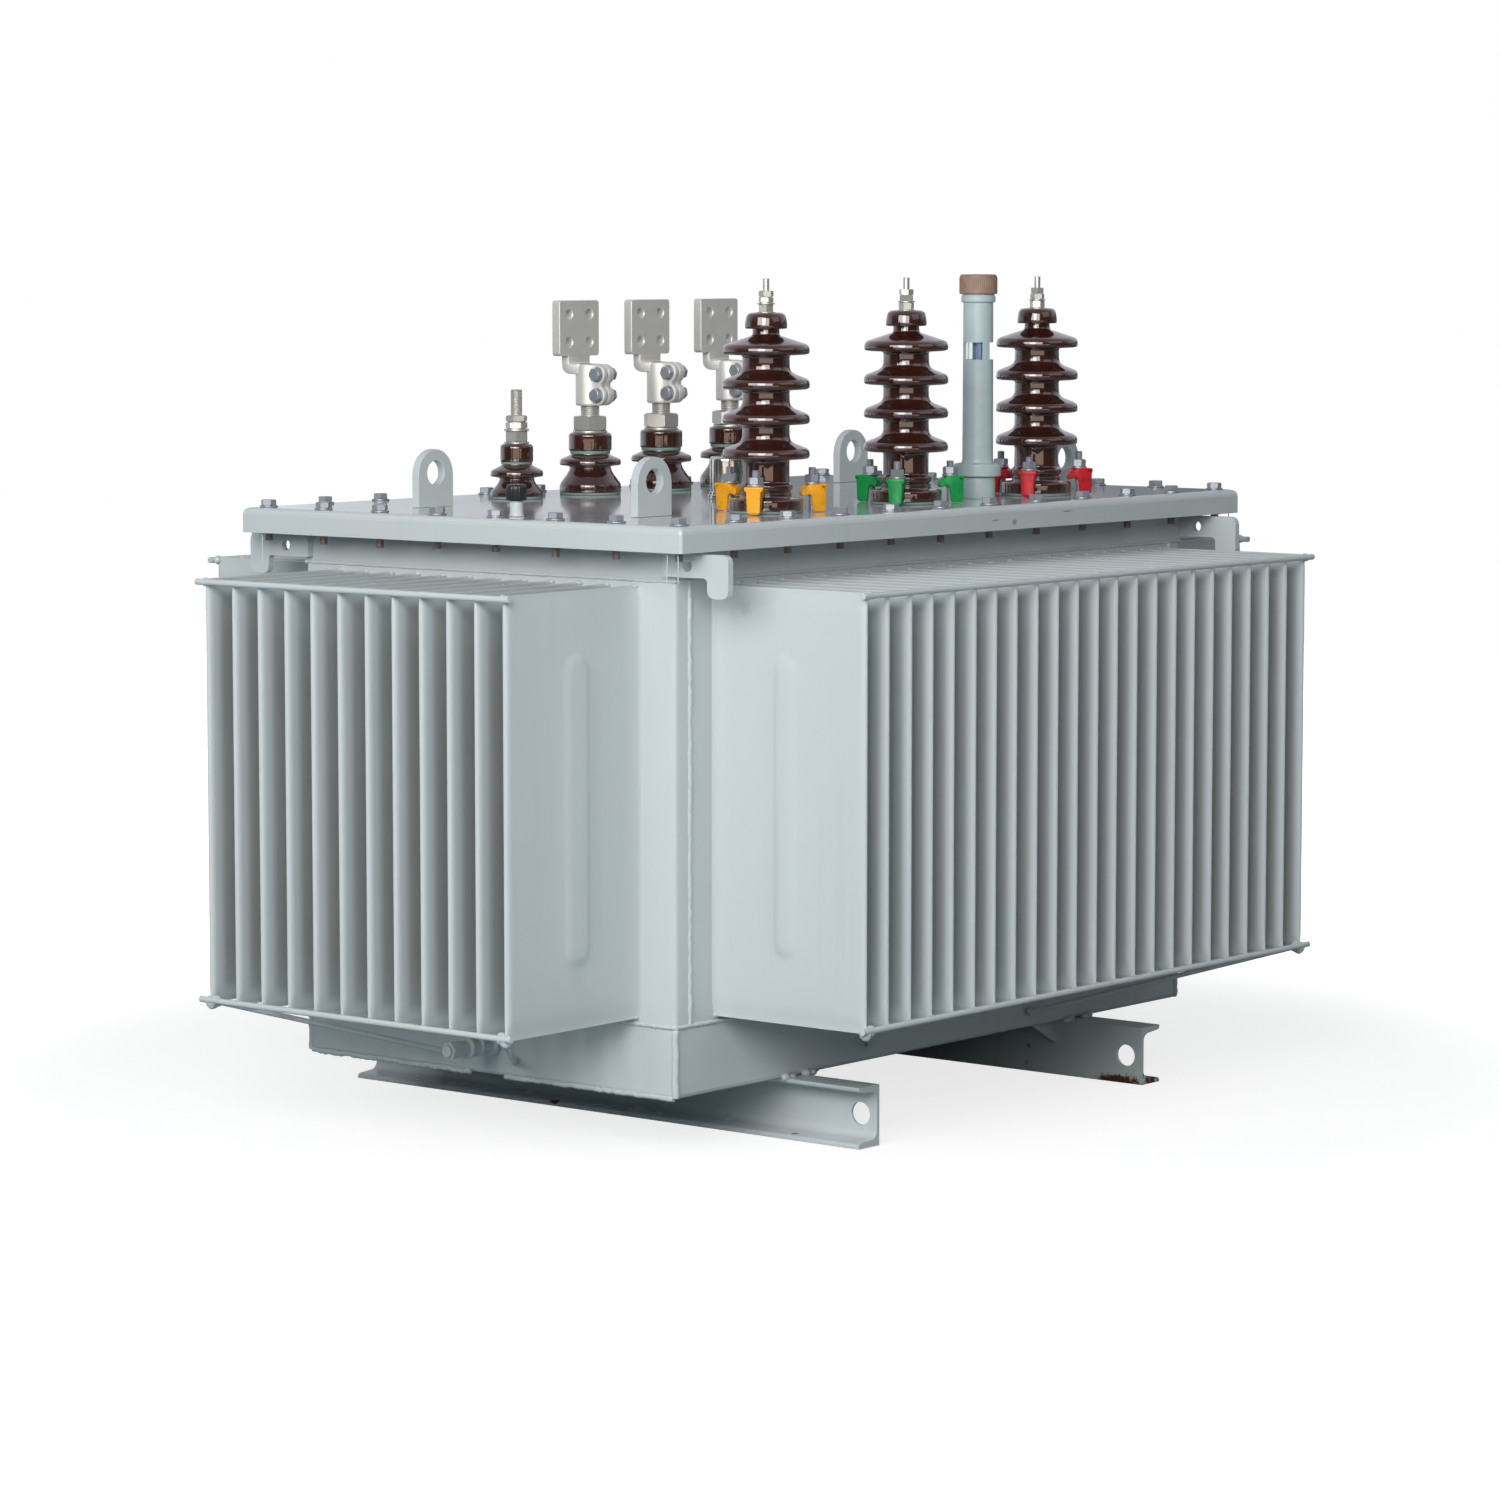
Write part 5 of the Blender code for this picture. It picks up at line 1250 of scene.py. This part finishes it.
CLAMP_RING = [(13.4, 0.0, 0.6), (18.6, 0, 1.2), (20, 2, 1.5), (20, 56, 2), (18, 58, 1.5), (0, 58, 0)]
NECK = [(0, 44, 0), (32.8, 44, 19), (32.8, 71, 0), (19.2, 71, 0), (19.2, 58, 3), (0, 58, 0)]
PALM_HOLES = [(across, 107.5 + up) for across in (-21.5, 21.5) for up in (-19.5, 19.5)]
palm_bolts = bmesh.new()
for letter in "abc":
    x, y = centre_of("lv_porcelain_" + letter)[:2]
    z = centre_of("lv_palm_" + letter)[2]
    place = at(x, y, z)
    bm = bmesh.new()
    add_turned(bm, rounded(CLAMP_RING), place, 56)
    for low, high in ((-9.0, -1.5), (1.5, 13.0)):
        middle = Matrix.Translation(((low + high) / 2 * MM, 0, 0))
        add_slab(bm, ear_outline(), lambda out, up: (high - low) / 2, middle @ at(x, y, z, -90), 1.2)
    for up in (14.5, 43.5):
        bolt = place @ Matrix.Translation((0, -0.021, up * MM)) @ Matrix.Rotation(math.radians(90), 4, "Y")
        add_hexagon(palm_bolts, 16.6, -17.0, -9.6, bolt, 13 + up)
        add_turned(palm_bolts, [(0, -9.7), (10.5, -9.7), (10.5, -9.0), (0, -9.0)], bolt, 28)
        add_turned(palm_bolts, [(0, 13.1), (11.0, 13.1), (11.0, 15.3), (0, 15.3)], bolt, 28)
        add_hexagon(palm_bolts, 16.6, 15.4, 23.6, bolt, 31 - up)
        add_thread(palm_bolts, 5.0, 15.0, 25.2, 1.5, bolt, 20)
    neck = rounded(NECK, closed=True, steps=8)
    add_slab(bm, neck, lambda out, up: 19 + 4 * smoothstep(out / 20), at(x, y, z, 90), 2.2)
    square_with_holes(bm, width=84, low=69, high=146, thick=14, y=26, holes=PALM_HOLES,
                      radius=6.8, corner=5, place=place)
    add_piece("palm_lv_" + letter, bm, cast_tin, ["lv_palm_" + letter], sharp=40)
add_piece("palm_bolts", palm_bolts, zinc, sharp=20)
add_piece("bushing_gaskets", gaskets, grey_rubber, sharp=40)
print("palms ready")

# %% [markdown]
# ## Oil gauge
#
# The level gauge is a plastic tube on a flanged foot. Three windows round it, near the top, show a
# blue float in a clear inner tube, and a ribbed tan cap closes it. The windows are real holes, so
# the light passes through from behind beside the float, as it does in the photograph.

# %% Gauge body with its windows
GAUGE_X = 0.190
GAUGE_Y = -0.235
gauge_place = at(GAUGE_X, GAUGE_Y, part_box("oil_gauge")[0].z)


def tube_outline():
    outer = [(24.4, 0, 0), (24.4, 28.8, 1.0), (22.6, 29.0, 0.3), (22.6, 30.2, 0.3), (32.5, 30.4, 1.5),
             (32.5, 47.5, 2.5), (22.2, 47.8, 2.5), (21.2, 54, 3), (20.5, 269.5, 0)]
    inner = [(16.6, 269.5, 0), (16.6, 60, 0), (0, 60, 0)]
    return rounded([(0, 0, 0)] + outer + inner)


def window_cutter(turn):
    """A block with rounded corners that passes through one side of the tube."""
    corners = [(-14.4, 190, 1.2), (14.4, 190, 1.2), (14.4, 213.5, 1.2), (-14.4, 213.5, 1.2)]
    across = gauge_place @ Matrix.Rotation(math.radians(turn), 4, "Z")
    outline = rounded(corners, closed=True, steps=4)
    cutter = bmesh.new()
    rings = [[across @ Vector((out, p.x * MM, p.y * MM)) for p in outline] for out in (0.0115, 0.030)]
    add_loft(cutter, rings)
    return cutter


bm = bmesh.new()
add_turned(bm, tube_outline(), gauge_place, 72)
windows = bmesh.new()
for turn in (190.5, 310.5, 70.5):
    merge(windows, window_cutter(turn))
bm = boolean_cut(bm, windows)
add_piece("gauge_tube", bm, gauge_grey, ["oil_gauge"], sharp=35)
print("gauge tube with 3 windows")

# %% Clear tube and float
def add_turned_piece(name, outline, place, sides, finish, stands_for=(), sharp=40.0):
    """A piece that is one turned body."""
    bm = bmesh.new()
    add_turned(bm, outline, place, sides)
    return add_piece(name, bm, finish, stands_for, sharp)


clear, tree, shader = new_material("clear_tube", (0.93, 0.96, 0.95, 1.0), 0.03)
shader.inputs["Transmission Weight"].default_value = 1.0
shader.inputs["IOR"].default_value = 1.49
feed(tree, shader.inputs["Normal"], use_group(tree, orange_peel, Size=90.0, Depth=0.00002)["Normal"])

shell = [(0, 176), (13.6, 176), (14.6, 177), (14.6, 226), (13.6, 226), (13.6, 178), (0, 178)]
add_turned_piece("gauge_glass", shell, gauge_place, 64, clear, sharp=35)

float_place = gauge_place @ Matrix.Translation((0.0017, -0.0021, 0))
float_outline = rounded([(0, 180, 0), (10.2, 180, 1.5), (10.6, 182, 1), (10.6, 222, 1), (0, 222, 0)])
add_turned_piece("gauge_float", float_outline, float_place, 40, float_blue)
print("clear tube and float ready")


# %% Cap, collar and screws
def add_ribbed(bm, levels, grooves, ribs, centre):
    """An upright ribbed cap from (radius, height, share of the ribs). Grooves are depths round one rib."""
    count = ribs * len(grooves)
    rings = []
    for radius, height, share in levels:
        ring = []
        for i in range(count):
            angle = 2 * math.pi * i / count
            reach = (radius - grooves[i % len(grooves)] * share) * MM
            x, y = centre[0] + reach * math.cos(angle), centre[1] + reach * math.sin(angle)
            ring.append(Vector((x, y, centre[2] + height * MM)))
        rings.append(ring)
    add_loft(bm, rings)


bm = bmesh.new()
cap_levels = [(25.0, 0.0, 0), (26.0, 0.8, 0), (26.1, 2.2, 0), (26.1, 3.4, 1), (26.1, 21.5, 1),
              (25.8, 23.0, 0.4), (24.8, 25.6, 0), (22.6, 26.8, 0), (6.0, 27.0, 0)]
cap_middle = (GAUGE_X, GAUGE_Y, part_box("gauge_cap")[0].z)
add_ribbed(bm, cap_levels, (0.0, 0.45, 0.6, 0.45), 60, cap_middle)
add_piece("gauge_cap_ribbed", bm, tan_plastic, ["gauge_cap"], sharp=40)

bands = rounded([(0, 267.8, 0), (22.6, 267.8, 1.2), (23.6, 269.5, 0.8), (23.5, 276.2, 0.8),
                 (22.3, 277.2, 0.4), (22.3, 279.0, 0), (0, 279.0, 0)])
add_turned_piece("gauge_collar", bands, gauge_place, 64, gauge_grey)

bm = bmesh.new()
screw = rounded([(0, 0, 0), (2.8, 0, 0.3), (2.8, 1.4, 1), (0, 2.0, 0)])
on_flange = Matrix.Translation((0.0276, 0, 0.0475))
for turn in (160.0, 280.0, 40.0):
    add_turned(bm, screw, gauge_place @ Matrix.Rotation(math.radians(turn), 4, "Z") @ on_flange, 16)
add_piece("gauge_screws", bm, zinc)

# %% [markdown]
# ## Relief valve, filler and drain
#
# The relief valve is a polished pot on a stepped base. The filler is a short painted stub with a
# fluted black cap, and the drain is a valve body of turned steps that stands out of the pan.

# %% Relief valve
pot = rounded([(0, 0, 0), (28.4, 0, 0.4), (28.4, 5.5, 0.8), (26.2, 6.0, 0.5), (26.2, 9.5, 0.5),
               (24.6, 10.0, 0.4), (24.6, 12.0, 0.4), (25.5, 12.5, 0.6), (25.5, 55, 2.2),
               (22.8, 58, 1.2), (8, 57.8, 0), (0, 57.8, 0)])
place = at(*centre_of("relief_valve"))
add_turned_piece("relief_pot", pot, place, 72, polished, ["relief_valve"])

# %% Filler neck and cap
stub = rounded([(0, 0, 0), (10.3, 0, 0.8), (8.7, 3.2, 1.2), (8.5, 20, 0.5), (0, 20, 0)])
place = at(*centre_of("filler_neck"))
add_turned_piece("filler_stub", stub, place, 36, paint, ["filler_neck"])
bm = bmesh.new()
cap_levels = [(12.4, 0.0, 0.5), (13.3, 0.8, 1), (13.4, 15.0, 1), (12.9, 18.5, 0.7), (11.4, 20.4, 0.3),
              (9.0, 21.0, 0), (3.0, 21.0, 0)]
flute = [0.35 + 0.35 * math.cos(math.pi * step / 3) for step in range(6)]
add_ribbed(bm, cap_levels, flute, 20, centre_of("filler_cap"))
add_piece("filler_cap_fluted", bm, black_plastic, ["filler_cap"], sharp=50)

# %% Drain valve
bm = bmesh.new()
drain_root = (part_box("drain_valve")[1].x, -0.008, 0.122)
drain = Matrix.Translation(drain_root) @ Matrix.Rotation(math.radians(-90), 4, "Y")
profile = [(0, 0, 0), (16.6, 0, 1), (16.6, 7, 1), (10.5, 8.5, 1), (10.5, 24, 1), (14.2, 25.5, 1),
           (14.2, 31, 1), (12.2, 32, 1), (12.2, 43, 1), (14.4, 44, 1), (14.4, 50, 1), (9.8, 51, 1),
           (9.8, 64, 1), (0, 64, 0)]
add_turned(bm, rounded(profile), drain, 48)
add_hexagon(bm, 21.5, 64.2, 84.0, drain, 12)
add_turned(bm, rounded([(0, 84, 0), (8, 84, 0.4), (8, 87.8, 1), (0, 87.8, 0)]), drain, 32)
add_piece("drain_body", bm, paint, ["drain_valve"], sharp=40)
print("valves ready")

# %% [markdown]
# ## Channels under the tank
#
# Two rolled channels carry the tank. Each is a C section with tapering flanges and soft inner
# corners, with a round hole near each end of its web. A small gusset behind the web stiffens it
# under each edge of the pan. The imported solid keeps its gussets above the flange, but the
# photograph shows them below it, so the finished beam is drawn anew from the same section.

# %% Channels
SECTION = [(0, 0, 1.2), (43, 0, 0.8), (43, 4, 1.8), (40.5, 6.5, 2), (11, 9, 5), (5, 15, 5), (5, 65, 5),
           (11, 71, 5), (40.5, 73.5, 2), (43, 76, 1.8), (43, 80, 0.8), (0, 80, 1.2)]
GUSSET = [(-60, 79.8), (-60, 77), (-2.5, 46), (0.4, 46), (0.4, 79.8)]
HOLE = [(0, -12), (15.7, -12), (15.7, -2.5), (15, -1.8), (15, 1.8), (15.7, 2.5), (15.7, 12), (0, 12)]
BEAM_HALF = 0.442
HOLE_AT = 0.415
HOLE_UP = 0.039
GUSSET_AT = 0.294
across_web = Matrix.Rotation(math.radians(90), 4, "Y")
for side, sign in (("left", -1), ("right", 1)):
    body, holes = bmesh.new(), bmesh.new()
    flat = [(sign * (CHANNEL_BACK + p.x * MM), p.y * MM) for p in rounded(SECTION, closed=True)]
    add_loft(body, [[Vector((x, y, z)) for x, z in flat] for y in (-BEAM_HALF, BEAM_HALF)])
    for end in (-1, 1):
        middle = Matrix.Translation((sign * (CHANNEL_BACK + 0.0025), end * HOLE_AT, HOLE_UP))
        add_turned(holes, HOLE, middle @ across_web, 56)
    bm = boolean_cut(body, holes)
    for end in (-1, 1):
        behind = at(sign * CHANNEL_BACK, end * GUSSET_AT, 0, 0 if sign > 0 else 180)
        add_slab(bm, GUSSET, lambda out, up: 4.0, behind, 0.6)
    beam = add_piece("beam_" + side, bm, rusty_paint, ["channel_" + side])
    print(beam.name, "faces:", len(beam.data.polygons))

# %% [markdown]
# ## Lid bolts
#
# Thirty-six bolts hold the lid: a zinc hexagon and washer above, a nut and an oxidised shank end
# below the lid's edge. Their places along the lid's four sides make one list, and one loop sets a
# bolt at each, turned at random, because no fitter lines up the corners.

# %% Lid bolts
LID_TOP = 0.8095
BOLT_ROW_X = 0.595
BOLT_ROW_Y = 0.355
bolt_places = [(-0.594 + 0.108 * i, side * BOLT_ROW_Y) for i in range(12) for side in (-1, 1)]
bolt_places += [(side * BOLT_ROW_X, -BOLT_ROW_Y + 0.1014 * i) for i in range(1, 7) for side in (-1, 1)]
heads = bmesh.new()
shanks = bmesh.new()
chance = random.Random(21)
for x, y in bolt_places:
    above = at(x, y, LID_TOP, chance.uniform(0, 60))
    add_disc(heads, 12, 0.2, 2.4, above, 28)
    add_hexagon(heads, 18.0, 2.5, 10.0, above)
    under = at(x, y, 0.0, chance.uniform(0, 60))
    add_disc(heads, 12, 784.2, 786.6, under, 28)
    add_hexagon(heads, 18.0, 774.5, 784.0, under)
    add_thread(shanks, 5.2, 764.5 + chance.uniform(-1.5, 1.5), 775.0, 1.75, under, 16)
add_piece("lid_bolts", heads, zinc, sharp=20)
add_piece("lid_bolt_ends", shanks, oxide)
print("bolts:", len(bolt_places))

# %% [markdown]
# ## Floor and light
#
# The photograph is a cut-out on plain white, but its own light is that of an open yard: the lid
# mirrors a mid-grey sky, and the end fins are lit softly from the camera's left. A pale floor
# keeps a soft shadow. Two large soft lamps beside the camera light the two near sides, and a third,
# far weaker, fills the front from the right. The world is white where the camera looks and grey
# where the shiny parts look. The floor throws back cool light on the left and neutral light on the
# right, because the shadows of the real pan have those two tints.

# %% Floor
WHITE = (1.0, 1.0, 1.0, 1.0)
COOL_GROUND = (0.29, 0.36, 0.405, 1.0)
PLAIN_GROUND = (0.335, 0.335, 0.32, 1.0)
SEEN_GROUND = (0.37, 0.365, 0.36, 1.0)
FLOOR_HALF = 7.0

floor_material = bpy.data.materials.new("pale_floor")
floor_material.use_nodes = True
tree = floor_material.node_tree
tree.nodes.clear()
out = add_node(tree, "ShaderNodeOutputMaterial")
diffuse = add_node(tree, "ShaderNodeBsdfDiffuse")
glow = add_node(tree, "ShaderNodeEmission")
glow.inputs["Color"].default_value = WHITE
seen = add_node(tree, "ShaderNodeLightPath").outputs["Is Camera Ray"]
place = object_place(tree)
rightward = between(tree, axis_of(tree, place, "X"), -0.45, 0.35)
ground = blend_colours(tree, rightward, COOL_GROUND, PLAIN_GROUND)
feed(tree, diffuse.inputs["Color"], blend_colours(tree, seen, ground, SEEN_GROUND))
far = between(tree, vector_maths(tree, "LENGTH", place), 0.9, 2.0)
lift = maths(tree, "ADD", 0.78, maths(tree, "MULTIPLY", far, 0.6))
feed(tree, glow.inputs["Strength"], maths(tree, "MULTIPLY", seen, lift))
both = add_node(tree, "ShaderNodeAddShader")
feed(tree, both.inputs[0], diffuse.outputs[0])
feed(tree, both.inputs[1], glow.outputs[0])
feed(tree, out.inputs["Surface"], both.outputs[0])

mesh = bpy.data.meshes.new("floor")
floor_corners = [(x * FLOOR_HALF, y * FLOOR_HALF, 0) for x, y in ((-1, -1), (1, -1), (1, 1), (-1, 1))]
mesh.from_pydata(floor_corners, [], [(0, 1, 2, 3)])
mesh.materials.append(floor_material)
floor = bpy.data.objects.new("floor", mesh)
bpy.context.scene.collection.objects.link(floor)
floor.location.z = -0.0005

# %% World
TOWARDS_CAMERA = (-0.777, -0.628, 0.0)
TO_ITS_LEFT = (-0.628, 0.777, 0.0)
CLOUD_DARK, CLOUD_LIGHT = (0.09, 0.095, 0.105, 1.0), (0.36, 0.385, 0.42, 1.0)
OPEN_DARK, OPEN_LIGHT = (0.55, 0.58, 0.62, 1.0), (1.0, 1.04, 1.10, 1.0)
HIGH_SKY = (0.62, 0.60, 0.68, 1.0)
NEAR_LOW, NEAR_HIGH = (0.06, 0.06, 0.065, 1.0), (0.34, 0.34, 0.37, 1.0)
LEVEL_GLARE = (1.6, 1.22, 0.97, 1.0)
SOFT_LOW, SOFT_HIGH = (0.095, 0.125, 0.145, 1.0), (0.155, 0.190, 0.205, 1.0)

world = bpy.data.worlds.new("yard")
bpy.context.scene.world = world
world.use_nodes = True
tree = world.node_tree
tree.nodes.clear()
out = add_node(tree, "ShaderNodeOutputWorld")
back = add_node(tree, "ShaderNodeBackground")
path = add_node(tree, "ShaderNodeLightPath").outputs
way = add_node(tree, "ShaderNodeTexCoord").outputs["Generated"]
up = axis_of(tree, way, "Z")
towards = vector_maths(tree, "DOT_PRODUCT", way, TOWARDS_CAMERA)
leftward = vector_maths(tree, "DOT_PRODUCT", way, TO_ITS_LEFT)
clouds = between(tree, noise_at(tree, way, 8.0, 4.0), 0.40, 0.62)
far_cloud = blend_colours(tree, clouds, CLOUD_DARK, CLOUD_LIGHT)
open_sky = blend_colours(tree, clouds, OPEN_DARK, OPEN_LIGHT)
far_low = blend_colours(tree, between(tree, leftward, -0.004, 0.028), far_cloud, open_sky)
far_sky = blend_colours(tree, between(tree, up, 0.085, 0.20), far_low, HIGH_SKY)
near_sky = blend_colours(tree, between(tree, up, 0.15, 0.6), NEAR_LOW, NEAR_HIGH)
sky = blend_colours(tree, between(tree, towards, 0.2, -0.3), near_sky, far_sky)
glare = maths(tree, "MULTIPLY", between(tree, towards, 0.81, 0.84), between(tree, up, 0.035, 0.015))
sky = blend_colours(tree, glare, sky, LEVEL_GLARE)
soft = blend_colours(tree, between(tree, up, 0.05, 0.6), SOFT_LOW, SOFT_HIGH)
ambient = blend_colours(tree, path["Is Diffuse Ray"], sky, soft)
through = maths(tree, "MAXIMUM", path["Is Camera Ray"], path["Is Transmission Ray"])
feed(tree, back.inputs["Color"], blend_colours(tree, through, ambient, WHITE))
back.inputs["Strength"].default_value = 1.0
feed(tree, out.inputs["Surface"], back.outputs[0])
print("floor and world ready")

# %% Lamps
def soft_lamp(name, place, width, power, colour, height=2.4, target=(0, 0, 0.5)):
    """A large lamp that faces the middle of the tank."""
    data = bpy.data.lights.new(name, "AREA")
    data.shape = "RECTANGLE"
    data.size = width
    data.size_y = height
    data.energy = power
    data.color = colour
    lamp = bpy.data.objects.new(name, data)
    lamp.location = place
    lamp.rotation_euler = (Vector(target) - Vector(place)).to_track_quat("-Z", "Y").to_euler()
    bpy.context.scene.collection.objects.link(lamp)


soft_lamp("left_lamp", (-4.9, -1.3, 2.65), 4.0, 152, (1.0, 0.99, 0.985))
soft_lamp("front_lamp", (-4.3, -3.2, 2.5), 3.6, 122, (1.0, 0.99, 0.985))
soft_lamp("right_lamp", (0.6, -5.0, 3.4), 4.0, 17, (1.0, 0.98, 0.94))
print("lamps:", len(bpy.data.lights))
